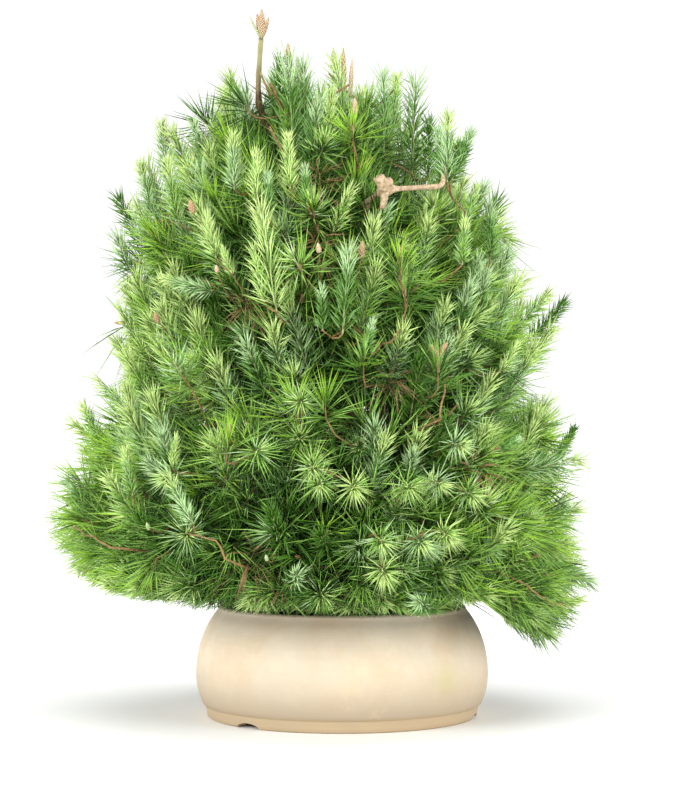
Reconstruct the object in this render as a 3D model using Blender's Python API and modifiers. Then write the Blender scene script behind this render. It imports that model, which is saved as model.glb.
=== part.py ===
"""An Aleppo pine bonsai: a bushy young pine, grown into a broad cone, in a round stoneware pot.

Run with blender --background --python part.py, or from Blender's text editor. Metres, +Z up.
The origin lies on the ground under the middle of the crown. The front of the plant faces -Y.
"""

import math
import random
from collections import namedtuple

import bmesh
import bpy
from mathutils import Vector, noise
from mathutils.geometry import intersect_point_line

# ---------------------------------------------------------------- driving dimensions, in metres
GAP = 0.0003  # between pieces that touch
SEAM = 0.0012  # between neighbouring masses of foliage
LEAST_SHARE = 0.30  # of the distance to a neighbour's centre, the least that a mass keeps for itself
LIMB_CLEARANCE = 0.0022  # between foliage and a trunk or bough that it passes

POT_X = 0.018  # the pot stands a little to the right of the crown's middle
POT_HEIGHT = 0.097
BELLY_RADIUS = 0.1287
BELLY_HEIGHT = 0.038
BELLY_CENTRE_RADIUS = 0.070  # centre of the two elliptical arcs of the wall
SHOULDER_RISE = 0.0747  # vertical semi-axis of the arc above the belly
HEEL_DROP = 0.0603  # vertical semi-axis of the arc below the belly
WALL = 0.008
FOOT_HEIGHT = 0.010
FOOT_RADIUS = 0.1180
FOOT_TOP_RADIUS = 0.1205
FOOT_WIDTH = 0.012
FLOOR_HEIGHT = 0.015  # the top of the pot's floor
RECESS_HEIGHT = 0.006  # the underside of the floor, inside the foot ring
POT_SIDES = 36
FOOT_NOTCHES = 3
FOOT_NOTCH_WIDTH = 0.026
FOOT_NOTCH_HEIGHT = 0.0045
FOOT_NOTCH_AZIMUTH = math.radians(228)

SOIL_TOP = 0.0890
SOIL_EDGE = 0.0840
SOIL_PLATEAU = 0.046
INNER_HEIGHTS = (0.026, 0.044, 0.064, SOIL_EDGE)  # rings of the pot's inner wall, which the soil follows
HEEL_ROUND = 0.006  # how far the floor stops short of the wall, where the two meet in a slope

TRUNK_STEPS = 2  # rings between two bends
TRUNK_RADIUS = 0.0165
TRUNK_TIP_RADIUS = 0.0022
ROOT_FLARE = 0.62  # how far the root lobes widen the foot of the trunk
ROOT_LOBES = 5
ROOT_FLARE_HEIGHT = 0.020
# The bends of the trunk, from its foot to the leader's tip
TRUNK_LINE = (
    (0.018, 0.000, SOIL_TOP + GAP),
    (0.019, -0.001, 0.105),
    (0.026, -0.004, 0.150),
    (0.030, 0.004, 0.215),
    (0.018, 0.010, 0.290),
    (0.004, 0.004, 0.365),
    (0.000, -0.004, 0.430),
    (-0.022, -0.008, 0.482),
    (-0.050, -0.012, 0.522),
    (-0.0555, -0.012, 0.548),
    (-0.0530, -0.012, 0.592),
)

BOUGH_SHARE = 0.40  # a bough's root radius, as a share of the trunk's radius there
BOUGH_RADII = (0.0030, 0.0056)  # least and greatest root radius
BOUGH_TAPER = 0.6
BOUGH_POINTS = 5
BOUGH_ARCH = 0.10  # how high a bough arches, as a share of its length
TIP_SHARE = 0.62  # how far short of its mass's centre a bough ends, as a share of the mass's rise
CREST_SHARE = 0.80  # the same, at most, as a share of the way back to the crest of its arch

# The crown's middle in X and half its width, at each height; only the leader reaches beyond it
CROWN_PROFILE = (
    (0.045, 0.000, 0.205),
    (0.080, 0.000, 0.245),
    (0.110, 0.001, 0.258),
    (0.180, 0.001, 0.258),
    (0.220, -0.002, 0.244),
    (0.260, 0.000, 0.234),
    (0.300, 0.008, 0.208),
    (0.340, 0.013, 0.206),
    (0.380, 0.006, 0.197),
    (0.420, -0.006, 0.188),
    (0.460, -0.012, 0.177),
    (0.500, -0.014, 0.153),
    (0.530, -0.014, 0.131),
    (0.560, -0.012, 0.104),
    (0.585, -0.024, 0.062),
    (0.600, -0.040, 0.015),
)
CROWN_DEPTH = 0.94  # the crown's depth from front to back, as a share of its width

CORE_SHARE = 0.56  # a mass's dense core, as a share of its outline
CORE_LUMPS = 0.18  # how strongly the core's surface rises and falls
CORE_INSET = 0.003  # how far the core stays inside its neighbours' walls
CORE_MARGIN = 0.008  # no needle ends nearer the core than this
CROWN_MIDDLE = (0.0, 0.0, 0.27)
TUFT_DIRECTIONS = 8  # even directions round a mass
INWARD_LIMIT = -0.10  # a direction that points further in towards the crown's middle stays bare
OPEN_SHARE = 0.78  # a direction is open when the mass's space takes up this share of its outline
REACH_STEP = 0.003
SPIKE_LENGTH = 0.046  # a needle drawn out of the core's surface
SHORTEST_SPIKE = 0.012
SPIKE_SPREAD = 0.16
SPIKE_LIFT = 0.25
RAISED_SHARE = 0.65  # how many of the core's open faces carry a needle
HUB_RADIUS = 0.0042
HUB_RISE = 0.012  # how far a hub stands off the core
TWIG_RADIUS = 0.0021
HANG_HEIGHT = 0.091  # the lowest that foliage hangs, level with the pot's rim
DROOP_HEIGHT = 0.050  # the lowest that it droops at the crown's right-hand side
DROOP_FROM = 0.155  # where that side begins
POT_CLEARANCE = 0.003
CANDLE_LENGTH = 0.024
CANDLE_RADIUS = 0.0040

# A tier is a ring of like masses of foliage round the crown's axis
Tier = namedtuple("Tier", "name count azimuth shift ring height radius rise trunk_height droop")
TIERS = (
    Tier("skirt", 7, 13, 0.000, 0.152, 0.160, 0.112, 0.092, 0.128, 0.022),
    Tier("lower", 5, 18, 0.002, 0.134, 0.250, 0.116, 0.092, 0.200, 0.0),
    Tier("middle", 5, 54, 0.010, 0.108, 0.352, 0.110, 0.088, 0.285, 0.0),
    Tier("upper", 4, 0, -0.008, 0.086, 0.448, 0.104, 0.086, 0.365, 0.0),
    Tier("crest", 3, 10, -0.018, 0.056, 0.520, 0.074, 0.068, 0.435, 0.0),
)
PLACE_JITTER = 0.007

# The shoulder: a bare bough, pruned back to a knuckle at the crown's front, that ends in one small mass
SHOULDER_CENTRE = (0.108, -0.070, 0.496)
SHOULDER_SIZE = (0.040, 0.038)  # radius and rise
SHOULDER_TRUNK_HEIGHT = 0.425
SHOULDER_KNUCKLE = (0.054, -0.136, 0.462)
SHOULDER_BEND = (0.102, -0.112, 0.466)
SHOULDER_RADIUS = 0.0036
SHOULDER_CLEARANCE = 0.007
KNUCKLE_RADIUS = 0.0075

# A kind of tuft: needle length, how far the needles sweep forward, the hub's length and its lowest needles
Kind = namedtuple("Kind", "needle sweep hub lowest")
STAR = Kind(0.044, 0.15, 0.0044, -0.5)
PLUME = Kind(0.034, 0.45, 0.0090, 0.0)
PLUME_SHARE = 0.45
NEEDLE_SHARE = 0.48  # the longest needle, as a share of its mass's radius
SHORTEST_NEEDLE = 0.013
NEEDLE_SPACING = 0.0035  # between the needles of neighbouring tufts

FOLIAGE_COLOURS = ((0.14, 0.30, 0.07), (0.20, 0.38, 0.09), (0.15, 0.33, 0.14))
UP = Vector((0, 0, 1))


# ---------------------------------------------------------------- scene and materials
def clear_scene():
    for obj in list(bpy.data.objects):
        bpy.data.objects.remove(obj, do_unlink=True)


def new_collection(name):
    collection = bpy.data.collections.new(name)
    bpy.context.scene.collection.children.link(collection)
    return collection


def material(name, colour, roughness):
    made = bpy.data.materials.new(name)
    made.use_nodes = True
    shader = made.node_tree.nodes["Principled BSDF"]
    shader.inputs["Base Color"].default_value = (*colour, 1.0)
    shader.inputs["Roughness"].default_value = roughness
    shader.inputs["Metallic"].default_value = 0.0
    return made


def add_object(name, mesh, collection, finish=None):
    obj = bpy.data.objects.new(name, mesh)
    collection.objects.link(obj)
    if finish:
        mesh.materials.clear()
        mesh.materials.append(finish)
    return obj


def mesh_of(bm, name):
    mesh = bpy.data.meshes.new(name)
    bm.to_mesh(mesh)
    bm.free()
    return mesh


def as_guide(obj):
    """A cutter or clearance shape, which isn't part of the plant."""
    obj.hide_render = True
    obj.display_type = "WIRE"
    return obj


def cut_with(obj, cutter):
    boolean = obj.modifiers.new("cut_" + cutter.name, "BOOLEAN")
    boolean.operation = "DIFFERENCE"
    boolean.solver = "EXACT"
    boolean.object = cutter


# ---------------------------------------------------------------- turned and tubular shapes
def turned(name, profile, collection, finish):
    """A profile of (radius, height) points turned about the pot's axis. It runs down the outer side."""
    bm = bmesh.new()
    points = [bm.verts.new((radius, 0, height)) for radius, height in profile]
    for a, b in zip(points, points[1:]):
        bm.edges.new((a, b))
    obj = add_object(name, mesh_of(bm, name), collection, finish)
    obj.location.x = POT_X
    screw = obj.modifiers.new("turn", "SCREW")
    screw.steps = screw.render_steps = POT_SIDES
    screw.use_merge_vertices = True
    screw.merge_threshold = 0.00005
    screw.use_smooth_shade = True
    return obj


def arc(centre, semi_axes, start, end, steps):
    """Points (radius, height) along an elliptical arc, angles in degrees above the horizontal."""
    made = []
    for i in range(steps + 1):
        angle = math.radians(start + (end - start) * i / steps)
        across, up = semi_axes[0] * math.cos(angle), semi_axes[1] * math.sin(angle)
        made.append((centre[0] + across, centre[1] + up))
    return made


def smooth_line(points, per_span):
    """A Catmull-Rom curve through the points, as a list of vectors."""
    points = [Vector(p) for p in points]
    ends = [2 * points[0] - points[1]] + points + [2 * points[-1] - points[-2]]
    line = []
    for a, b, c, d in zip(ends, ends[1:], ends[2:], ends[3:]):
        for i in range(per_span):
            t = i / per_span
            bend, turn = 2 * a - 5 * b + 4 * c - d, 3 * b - a - 3 * c + d
            line.append(0.5 * (2 * b + (c - a) * t + bend * t**2 + turn * t**3))
    return line + [points[-1]]


def tube(name, line, radii, collection, resolution, finish=None, spare=0.0):
    """A tapering round limb along the line, as a closed mesh. spare is added to every radius."""
    curve = bpy.data.curves.new(name + "_curve", "CURVE")
    curve.dimensions = "3D"
    curve.bevel_depth = 1.0
    curve.bevel_resolution = resolution
    curve.use_fill_caps = True
    spline = curve.splines.new("POLY")
    spline.points.add(len(line) - 1)
    for point, place, radius in zip(spline.points, line, radii):
        point.co = (*place, 1)
        point.radius = radius + spare
    guide = add_object(name + "_guide", curve, collection)
    evaluated = guide.evaluated_get(bpy.context.evaluated_depsgraph_get())
    mesh = bpy.data.meshes.new_from_object(evaluated)
    mesh.name = name
    place = guide.matrix_world.copy()
    bpy.data.objects.remove(guide, do_unlink=True)
    bm = bmesh.new()
    bm.from_mesh(mesh)
    bmesh.ops.remove_doubles(bm, verts=bm.verts, dist=1e-6)
    bmesh.ops.recalc_face_normals(bm, faces=bm.faces)
    bm.to_mesh(mesh)
    bm.free()
    mesh.shade_smooth()
    mesh.set_sharp_from_angle(angle=math.radians(50))
    obj = add_object(name, mesh, collection, finish)
    obj.matrix_world = place
    return obj


# ---------------------------------------------------------------- pot and soil
def wall_radius(height):
    """Outer radius of the pot's wall at a height."""
    drop = SHOULDER_RISE if height > BELLY_HEIGHT else HEEL_DROP
    lift = (height - BELLY_HEIGHT) / drop
    return BELLY_CENTRE_RADIUS + (BELLY_RADIUS - BELLY_CENTRE_RADIUS) * math.sqrt(1 - lift * lift)


def pot_profile():
    """From the middle of the floor up the inner wall, over the rim, and down the outside to the foot."""
    lip = WALL / 2
    lip_height = POT_HEIGHT - lip
    rim = arc((wall_radius(lip_height) - lip, lip_height), (lip, lip), 180, 0, 4)
    outer_heights = [0.086, 0.074, 0.060, 0.046, 0.034, 0.022, FOOT_HEIGHT + 0.0015]
    outside = [(wall_radius(h), h) for h in outer_heights]
    foot = [
        (FOOT_TOP_RADIUS, FOOT_HEIGHT),
        (FOOT_RADIUS, 0.0),
        (FOOT_RADIUS - FOOT_WIDTH, 0.0),
        (FOOT_RADIUS - FOOT_WIDTH, RECESS_HEIGHT),
        (0, RECESS_HEIGHT),
    ]
    inside = [(wall_radius(h) - WALL, h) for h in INNER_HEIGHTS]
    floor = [(0, FLOOR_HEIGHT), (wall_radius(FLOOR_HEIGHT) - WALL - HEEL_ROUND, FLOOR_HEIGHT)]
    return floor + inside + rim + outside + foot


def foot_notch(index, cutters):
    """A shallow arch through the foot ring, where water runs out."""
    azimuth = FOOT_NOTCH_AZIMUTH + 2 * math.pi * index / FOOT_NOTCHES
    bm = bmesh.new()
    bmesh.ops.create_cone(bm, cap_ends=True, segments=16, radius1=1, radius2=1, depth=1)
    bmesh.ops.scale(bm, verts=bm.verts, vec=(FOOT_NOTCH_HEIGHT, FOOT_NOTCH_WIDTH / 2, 5 * FOOT_WIDTH))
    cutter = add_object(f"foot_notch_{index + 1}", mesh_of(bm, "foot_notch"), cutters)
    cutter.rotation_euler = (0, math.radians(90), azimuth)
    middle = FOOT_RADIUS - FOOT_WIDTH / 2
    cutter.location = (POT_X + middle * math.cos(azimuth), middle * math.sin(azimuth), 0)
    return as_guide(cutter)


def make_pot(plant, cutters, finish):
    pot = turned("pot", pot_profile(), plant, finish)
    for index in range(FOOT_NOTCHES):
        cut_with(pot, foot_notch(index, cutters))
    return pot


def make_soil(plant, finish):
    """The soil fills the pot to just under its rim, with a level crown that the trunk stands on."""
    clear = WALL + 2 * GAP
    top = [(0, SOIL_TOP), (SOIL_PLATEAU, SOIL_TOP)]
    side = [(wall_radius(h) - clear, h) for h in reversed(INNER_HEIGHTS)]
    floor = FLOOR_HEIGHT + GAP
    bottom = [(wall_radius(FLOOR_HEIGHT) - clear - HEEL_ROUND, floor), (0, floor)]
    return turned("soil", top + side + bottom, plant, finish)


# ---------------------------------------------------------------- limbs
class Limb:
    """The centreline and radii of the trunk or of a bough."""

    def __init__(self, line, root_radius, tip_radius, clearance=LIMB_CLEARANCE):
        self.line = line
        self.clearance = clearance
        steps = [(b - a).length for a, b in zip(line, line[1:])]
        total, gone, self.radii = sum(steps), 0.0, []
        for step in steps + [0.0]:
            self.radii.append(root_radius + (tip_radius - root_radius) * gone / total)
            gone += step

    def nearest(self, point):
        """The distance from a point to the limb's surface."""
        best = 1.0
        for a, b, radius in zip(self.line, self.line[1:], self.radii):
            foot, share = intersect_point_line(point, a, b)
            foot = a if share < 0 else b if share > 1 else foot
            best = min(best, (point - foot).length - radius)
        return best

    def at_height(self, height):
        """The centreline's point and radius at a height."""
        for a, b, radius in zip(self.line, self.line[1:], self.radii):
            if a.z <= height <= b.z:
                return a.lerp(b, (height - a.z) / (b.z - a.z)), radius
        return self.line[-1], self.radii[-1]


def widen_root(mesh):
    """Spreads the foot of the trunk into root lobes, and levels its cut."""
    foot = Vector(TRUNK_LINE[0])
    for vertex in mesh.vertices:
        rise = vertex.co.z - foot.z
        if rise < 0.002:
            vertex.co.z, rise = foot.z, 0.0
        if rise > 3 * ROOT_FLARE_HEIGHT:
            continue
        away = Vector((vertex.co.x - foot.x, vertex.co.y - foot.y))
        lobe = 0.6 + 0.4 * math.cos(ROOT_LOBES * math.atan2(away.y, away.x))
        widen = ROOT_FLARE * lobe * math.exp(-((rise / ROOT_FLARE_HEIGHT) ** 1.5))
        vertex.co.x += away.x * widen
        vertex.co.y += away.y * widen


def make_trunk(limb, plant, guides, finish):
    trunk = tube("trunk", limb.line, limb.radii, plant, 3, finish)
    widen_root(trunk.data)
    clearance = tube("trunk_clearance", limb.line, limb.radii, guides, 3, spare=GAP)
    widen_root(clearance.data)
    return trunk, as_guide(clearance)


# ---------------------------------------------------------------- the masses' places
def in_crown(point):
    """Whether a point is inside the crown's profile, turned about its middle."""
    for low, high in zip(CROWN_PROFILE, CROWN_PROFILE[1:]):
        if low[0] <= point.z <= high[0]:
            share = (point.z - low[0]) / (high[0] - low[0])
            middle = low[1] + (high[1] - low[1]) * share
            half_width = low[2] + (high[2] - low[2]) * share
            return math.hypot(point.x - middle, point.y / CROWN_DEPTH) <= half_width
    return False


class Mass:
    """A mass of foliage: the space that it keeps to, and the bough that carries it."""

    def __init__(self, name, centre, radius, rise, trunk_height, seed):
        self.name = name
        self.centre = Vector(centre)
        self.radius = radius
        self.rise = rise
        self.trunk_height = trunk_height
        self.seed = seed
        self.outward = (self.centre - Vector(CROWN_MIDDLE)).normalized()
        self.walls = []
        self.limbs = []
        self.bough = None

    def wall_off(self, others):
        """Plane walls half way to each neighbour, so that no two masses overlap."""
        for other in others:
            away = other.centre - self.centre
            distance = away.length
            if other is self or distance > 1.2 * (self.radius + other.radius):
                continue
            share = (distance**2 + self.radius**2 - other.radius**2) / (2 * distance)
            share = min(max(share, LEAST_SHARE * distance), (1 - LEAST_SHARE) * distance)
            normal = away / distance
            self.walls.append((normal, normal.dot(self.centre) + share - SEAM / 2))

    def in_outline(self, point):
        """Whether a point is in the mass's rounded outline and in the crown's."""
        across = point - self.centre
        flat = (across.x**2 + across.y**2) / self.radius**2
        return flat + across.z**2 / self.rise**2 <= 1 and in_crown(point)

    def in_space(self, point, spare=0.0):
        """Whether a point is in this mass's own space, clear of its neighbours, the pot and the ground."""
        lowest = DROOP_HEIGHT if point.x > DROOP_FROM else HANG_HEIGHT
        if not self.in_outline(point) or point.z < lowest + spare:
            return False
        if any(normal.dot(point) > limit - spare for normal, limit in self.walls):
            return False
        beside_pot = math.hypot(point.x - POT_X, point.y) > BELLY_RADIUS + POT_CLEARANCE + spare
        return beside_pot or point.z > POT_HEIGHT + POT_CLEARANCE + spare

    def holds(self, point, spare=0.0):
        """Whether a point is in this mass's own space and clear of every limb."""
        if not self.in_space(point, spare):
            return False
        return all(limb.nearest(point) > limb.clearance + spare for limb in self.limbs)

    def is_open(self, direction):
        """Whether the mass faces out of the crown this way, with no neighbour close by."""
        if direction.dot(self.outward) < INWARD_LIMIT:
            return False
        return self.reach(direction, self.in_space) > OPEN_SHARE * self.reach(direction, self.in_outline)

    def core_reach(self, direction):
        """How far the dense core reaches: all the way to a neighbour, but less far in the open."""
        outline, space = self.reach(direction, self.in_outline), self.reach(direction, self.in_space)
        lump = CORE_LUMPS * noise.noise(direction * 2.2 + Vector((self.seed, 0, 0)))
        dense = (CORE_SHARE * (1 + lump) + 1 - space / outline) * outline
        return max(min(dense, space - CORE_INSET), REACH_STEP)

    def in_core(self, point):
        """Whether a point lies in the dense core, or barely outside it."""
        away = point - self.centre
        return away.length < self.core_reach(away.normalized()) + CORE_MARGIN

    def reach(self, direction, inside):
        """How far a straight line from the centre stays inside, in short steps."""
        distance = 0.0
        while inside(self.centre + direction * (distance + REACH_STEP)):
            distance += REACH_STEP
        return distance


def tier_masses():
    """The rings of masses, each shifted a little by a seeded rule."""
    masses = []
    for tier_index, tier in enumerate(TIERS):
        shift = random.Random(100 + tier_index)
        for i in range(tier.count):
            azimuth = math.radians(tier.azimuth + 360 * i / tier.count)
            ring = tier.ring + shift.uniform(-PLACE_JITTER, 0)
            height = tier.height + shift.uniform(-PLACE_JITTER, PLACE_JITTER) - tier.droop * math.cos(azimuth)
            centre = (tier.shift + ring * math.cos(azimuth), ring * math.sin(azimuth), height)
            trunk_height = tier.trunk_height + 0.012 * i
            name = f"{tier.name}_{i + 1}"
            masses.append(Mass(name, centre, tier.radius, tier.rise, trunk_height, 10 * tier_index + i))
    return masses


def shoulder_mass(seed):
    radius, rise = SHOULDER_SIZE
    return Mass("shoulder", SHOULDER_CENTRE, radius, rise, SHOULDER_TRUNK_HEIGHT, seed)


def shoulder_limb(mass, trunk):
    """The bare bough, swollen where it was pruned."""
    root = trunk.at_height(mass.trunk_height)[0]
    knuckle, bend = Vector(SHOULDER_KNUCKLE), Vector(SHOULDER_BEND)
    before = knuckle.lerp(root, 0.14)
    after = knuckle.lerp(bend, 0.22)
    tip = bend.lerp(mass.centre, 0.45)
    line = [root, root.lerp(knuckle, 0.5), before, knuckle, after, bend, tip]
    limb = Limb(line, SHOULDER_RADIUS, 0.8 * SHOULDER_RADIUS)
    limb.radii[3] = KNUCKLE_RADIUS
    bare = Limb([before, knuckle, after, bend], SHOULDER_RADIUS, SHOULDER_RADIUS, SHOULDER_CLEARANCE)
    return limb, bare


def bough_limb(mass, trunk):
    """The bough arches from the trunk's centreline to where it enters the mass's core."""
    root, trunk_radius = trunk.at_height(mass.trunk_height)
    root_radius = min(max(BOUGH_SHARE * trunk_radius, BOUGH_RADII[0]), BOUGH_RADII[1])
    span = mass.centre - root
    crest = root.lerp(mass.centre, 0.5) + UP * BOUGH_ARCH * span.length
    heading = (mass.centre - crest).normalized()
    short_of = min(TIP_SHARE * mass.rise, CREST_SHARE * (mass.centre - crest).length)
    tip = mass.centre - heading * short_of
    line = []
    for i in range(BOUGH_POINTS):
        t = i / (BOUGH_POINTS - 1)
        line.append(root * (1 - t) ** 2 + crest * 2 * t * (1 - t) + tip * t**2)
    return Limb(line, root_radius, BOUGH_TAPER * root_radius)


# ---------------------------------------------------------------- foliage
def even_directions(count, seed):
    """Directions spread evenly over a ball, turned by a seeded angle."""
    golden = math.pi * (3 - math.sqrt(5))
    turn = random.Random(seed).uniform(0, 2 * math.pi)
    made = []
    for i in range(count):
        z = 1 - (2 * i + 1) / count
        flat = math.sqrt(1 - z * z)
        made.append(Vector((flat * math.cos(golden * i + turn), flat * math.sin(golden * i + turn), z)))
    return made


def place_along(obj, start, heading):
    obj.location = start
    obj.rotation_mode = "QUATERNION"
    obj.rotation_quaternion = heading.to_track_quat("Z", "Y")
    return obj


def twig(start, end, root_radius, tip_radius, sides, parts):
    """A straight tapering twig."""
    bm = bmesh.new()
    length = (end - start).length
    bmesh.ops.create_cone(
        bm, cap_ends=True, segments=sides, radius1=root_radius, radius2=tip_radius, depth=length
    )
    return place_along(add_object("twig", mesh_of(bm, "twig"), parts), (start + end) / 2, end - start)


def candle(start, heading, length, radius, parts):
    """An opening bud: a slim spindle."""
    bm = bmesh.new()
    bmesh.ops.create_icosphere(bm, subdivisions=1, radius=1)
    bmesh.ops.scale(bm, verts=bm.verts, vec=(radius, radius, length / 2))
    bud = add_object("candle", mesh_of(bm, "candle"), parts)
    return place_along(bud, start + heading * (length / 2 - 0.003), heading)


def apart(line, placed):
    """Whether a needle's line keeps apart from the needles already placed."""
    for start, end in placed:
        for point in line:
            foot, share = intersect_point_line(point, start, end)
            foot = start if share < 0 else end if share > 1 else foot
            if (point - foot).length < NEEDLE_SPACING:
                return False
    return True


def tuft(mass, hub, heading, kind, branch, placed, parts):
    """A twig's tip: each raised face of the hub is one needle, and one more is drawn back as the twig."""
    bm = bmesh.new()
    bmesh.ops.create_icosphere(bm, subdivisions=1, radius=1)
    turn = heading.to_track_quat("Z", "Y")
    back = turn.inverted() @ (branch - hub)
    twig_face = max(bm.faces, key=lambda f: f.calc_center_median().dot(back))
    needles = [(twig_face, branch - hub)]
    for face in bm.faces:
        outward = face.calc_center_median().normalized()
        if outward.z < kind.lowest or face is twig_face:
            continue
        lean = (turn @ outward).lerp(heading, kind.sweep).normalized()
        length = min(kind.needle, NEEDLE_SHARE * mass.radius)
        while length > SHORTEST_NEEDLE:
            line = [hub + lean * length * share for share in (0.2, 0.4, 0.6, 0.8, 1.0)]
            shown = not mass.in_core(line[-1])
            if shown and all(mass.holds(point) for point in line) and apart(line, placed):
                needles.append((face, lean * length))
                break
            length *= 0.82
    bmesh.ops.scale(bm, verts=bm.verts, vec=(HUB_RADIUS, HUB_RADIUS, kind.hub))
    for face, tip in needles:
        bmesh.ops.poke(bm, faces=[face])["verts"][0].co = turn.inverted() @ tip
        placed.append((hub, hub + tip))
    place_along(add_object("tuft", mesh_of(bm, "tuft"), parts), hub, heading)


def core_mesh(mass, placed):
    """The mass's dense middle, finely faceted where it is open, and there drawn out into needles."""
    bm = bmesh.new()
    bmesh.ops.create_icosphere(bm, subdivisions=2, radius=1)
    shown = [face for face in bm.faces if mass.is_open(face.calc_center_median().normalized())]
    edges = {edge for face in shown for edge in face.edges}
    bmesh.ops.subdivide_edges(bm, edges=list(edges), cuts=1, use_grid_fill=True)
    bmesh.ops.triangulate(bm, faces=bm.faces)
    for vertex in bm.verts:
        direction = vertex.co.normalized()
        vertex.co = direction * mass.core_reach(direction)
    chance = random.Random(mass.seed)
    for face in list(bm.faces):
        foot = face.calc_center_median()
        raised = chance.random() < RAISED_SHARE and mass.is_open(foot.normalized())
        length = SPIKE_LENGTH * chance.uniform(0.7, 1.0)
        lean = Vector([chance.gauss(0, SPIKE_SPREAD) for _ in range(3)]) + UP * SPIKE_LIFT
        lean = (foot.normalized() + lean).normalized()
        while raised and length > SHORTEST_SPIKE:
            line = [mass.centre + foot + lean * length * share for share in (0.4, 0.6, 0.8, 1.0)]
            if all(mass.holds(point) for point in line) and apart(line, placed):
                bmesh.ops.poke(bm, faces=[face])["verts"][0].co = foot + lean * length
                placed.append((line[0], line[-1]))
                break
            length *= 0.8
    bmesh.ops.translate(bm, verts=bm.verts, vec=mass.centre)
    return mesh_of(bm, mass.name + "_core")


def keep_largest(mesh):
    """Drops scraps that the union left loose."""
    bm = bmesh.new()
    bm.from_mesh(mesh)
    left, islands = set(bm.verts), []
    while left:
        front = [left.pop()]
        island = set(front)
        while front:
            for edge in front.pop().link_edges:
                for vertex in edge.verts:
                    if vertex not in island:
                        island.add(vertex)
                        left.discard(vertex)
                        front.append(vertex)
        islands.append(island)
    largest = max(islands, key=len)
    bmesh.ops.delete(bm, geom=[v for v in bm.verts if v not in largest], context="VERTS")
    bm.to_mesh(mesh)
    bm.free()


def fuse(base, parts, name, plant, finish, spaces=None):
    """Joins the base mesh and every object in parts into one solid, then cuts it clear of the limbs."""
    solid = add_object(name, base, plant)
    for operation, collection in (("UNION", parts), ("DIFFERENCE", spaces)):
        if collection:
            boolean = solid.modifiers.new(operation.lower(), "BOOLEAN")
            boolean.operation = operation
            boolean.solver = "MANIFOLD"
            boolean.operand_type = "COLLECTION"
            boolean.collection = collection
    bpy.context.view_layer.update()
    evaluated = solid.evaluated_get(bpy.context.evaluated_depsgraph_get())
    joined = bpy.data.meshes.new_from_object(evaluated)
    solid.modifiers.clear()
    solid.data = joined
    for obj in list(parts.objects):
        bpy.data.objects.remove(obj, do_unlink=True)
    keep_largest(joined)
    joined.name = name
    joined.materials.clear()
    joined.materials.append(finish)
    return solid


def tuft_sites(mass):
    """Where the mass's twigs end: (hub, heading, kind, branch point), by a seeded rule."""
    chance = random.Random(mass.seed)
    heading = (mass.centre - mass.bough.line[-1]).normalized()
    sites = []
    for direction in even_directions(round(TUFT_DIRECTIONS * mass.radius / TIERS[0].radius), mass.seed):
        kind = PLUME if chance.random() < PLUME_SHARE else STAR
        inset = chance.uniform(0.86, 1.0)
        if not mass.is_open(direction):
            continue
        reach = mass.reach(direction, mass.in_space)
        needle = min(kind.needle, NEEDLE_SHARE * mass.radius)
        stand_off = max(inset * reach - 0.85 * needle, mass.core_reach(direction) + HUB_RISE)
        hub = mass.centre + direction * stand_off
        lift = 0.45 if kind is PLUME else 0.15
        branch = mass.centre + heading * 0.35 * reach * direction.dot(heading)
        twig_line = [branch.lerp(hub, share / 8) for share in range(2, 9)]
        if mass.holds(hub, HUB_RADIUS) and all(mass.holds(point, TWIG_RADIUS) for point in twig_line):
            sites.append((hub, (direction + UP * lift).normalized(), kind, branch))
    return sites


def make_mass(mass, plant, parts, finish, spaces):
    """One stem from the bough's tip, its twigs and their tufts, fused with the mass's core."""
    bough_tip, tip_radius = mass.bough.line[-1], mass.bough.radii[-1]
    along = (bough_tip - mass.bough.line[-2]).normalized()
    stem_end = bough_tip + along * 0.75 * mass.radius
    twig(bough_tip, stem_end, tip_radius, TWIG_RADIUS, 6, parts)
    placed = []
    for hub, heading, kind, branch in tuft_sites(mass):
        tuft(mass, hub, heading, kind, branch, placed, parts)
        if mass.name.startswith("crest") and heading.z > 0.8:
            candle(hub, heading, CANDLE_LENGTH, CANDLE_RADIUS, parts)
    return fuse(core_mesh(mass, placed), parts, "foliage_" + mass.name, plant, finish, spaces)


def make_leader(trunk, parts, plant, finish):
    """The leader's tip: a cluster of three buds on a short stem."""
    foot = trunk.line[-1] + UP * GAP
    top = foot + UP * 0.008
    bm = bmesh.new()
    bmesh.ops.create_cone(
        bm, cap_ends=True, segments=6, radius1=TRUNK_TIP_RADIUS, radius2=TRUNK_TIP_RADIUS, depth=0.008
    )
    bmesh.ops.translate(bm, verts=bm.verts, vec=(foot + top) / 2)
    candle(top, UP, CANDLE_LENGTH, CANDLE_RADIUS, parts)
    right, left = Vector((0.5, -0.1, 1)).normalized(), Vector((-0.42, 0.1, 1)).normalized()
    candle(top - UP * 0.002, right, 0.7 * CANDLE_LENGTH, 0.8 * CANDLE_RADIUS, parts)
    candle(top - UP * 0.003, left, CANDLE_LENGTH, 0.4 * CANDLE_RADIUS, parts)
    return fuse(mesh_of(bm, "leader_stem"), parts, "leader_buds", plant, finish)


# ---------------------------------------------------------------- the whole plant
def make_boughs(masses, clearance, plant, finish):
    for mass in masses:
        bough = tube("bough_" + mass.name, mass.bough.line, mass.bough.radii, plant, 1, finish)
        cut_with(bough, clearance)


def make_limb_spaces(limbs, spaces):
    """The room that the masses leave round the limbs, to just past each tip."""
    for limb in limbs:
        tip = limb.line[-1]
        along = (tip - limb.line[-2]).normalized()
        line = limb.line[:-1] + [tip + along * GAP]
        as_guide(tube("limb_space", line, limb.radii, spaces, 1, spare=limb.clearance))


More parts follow.
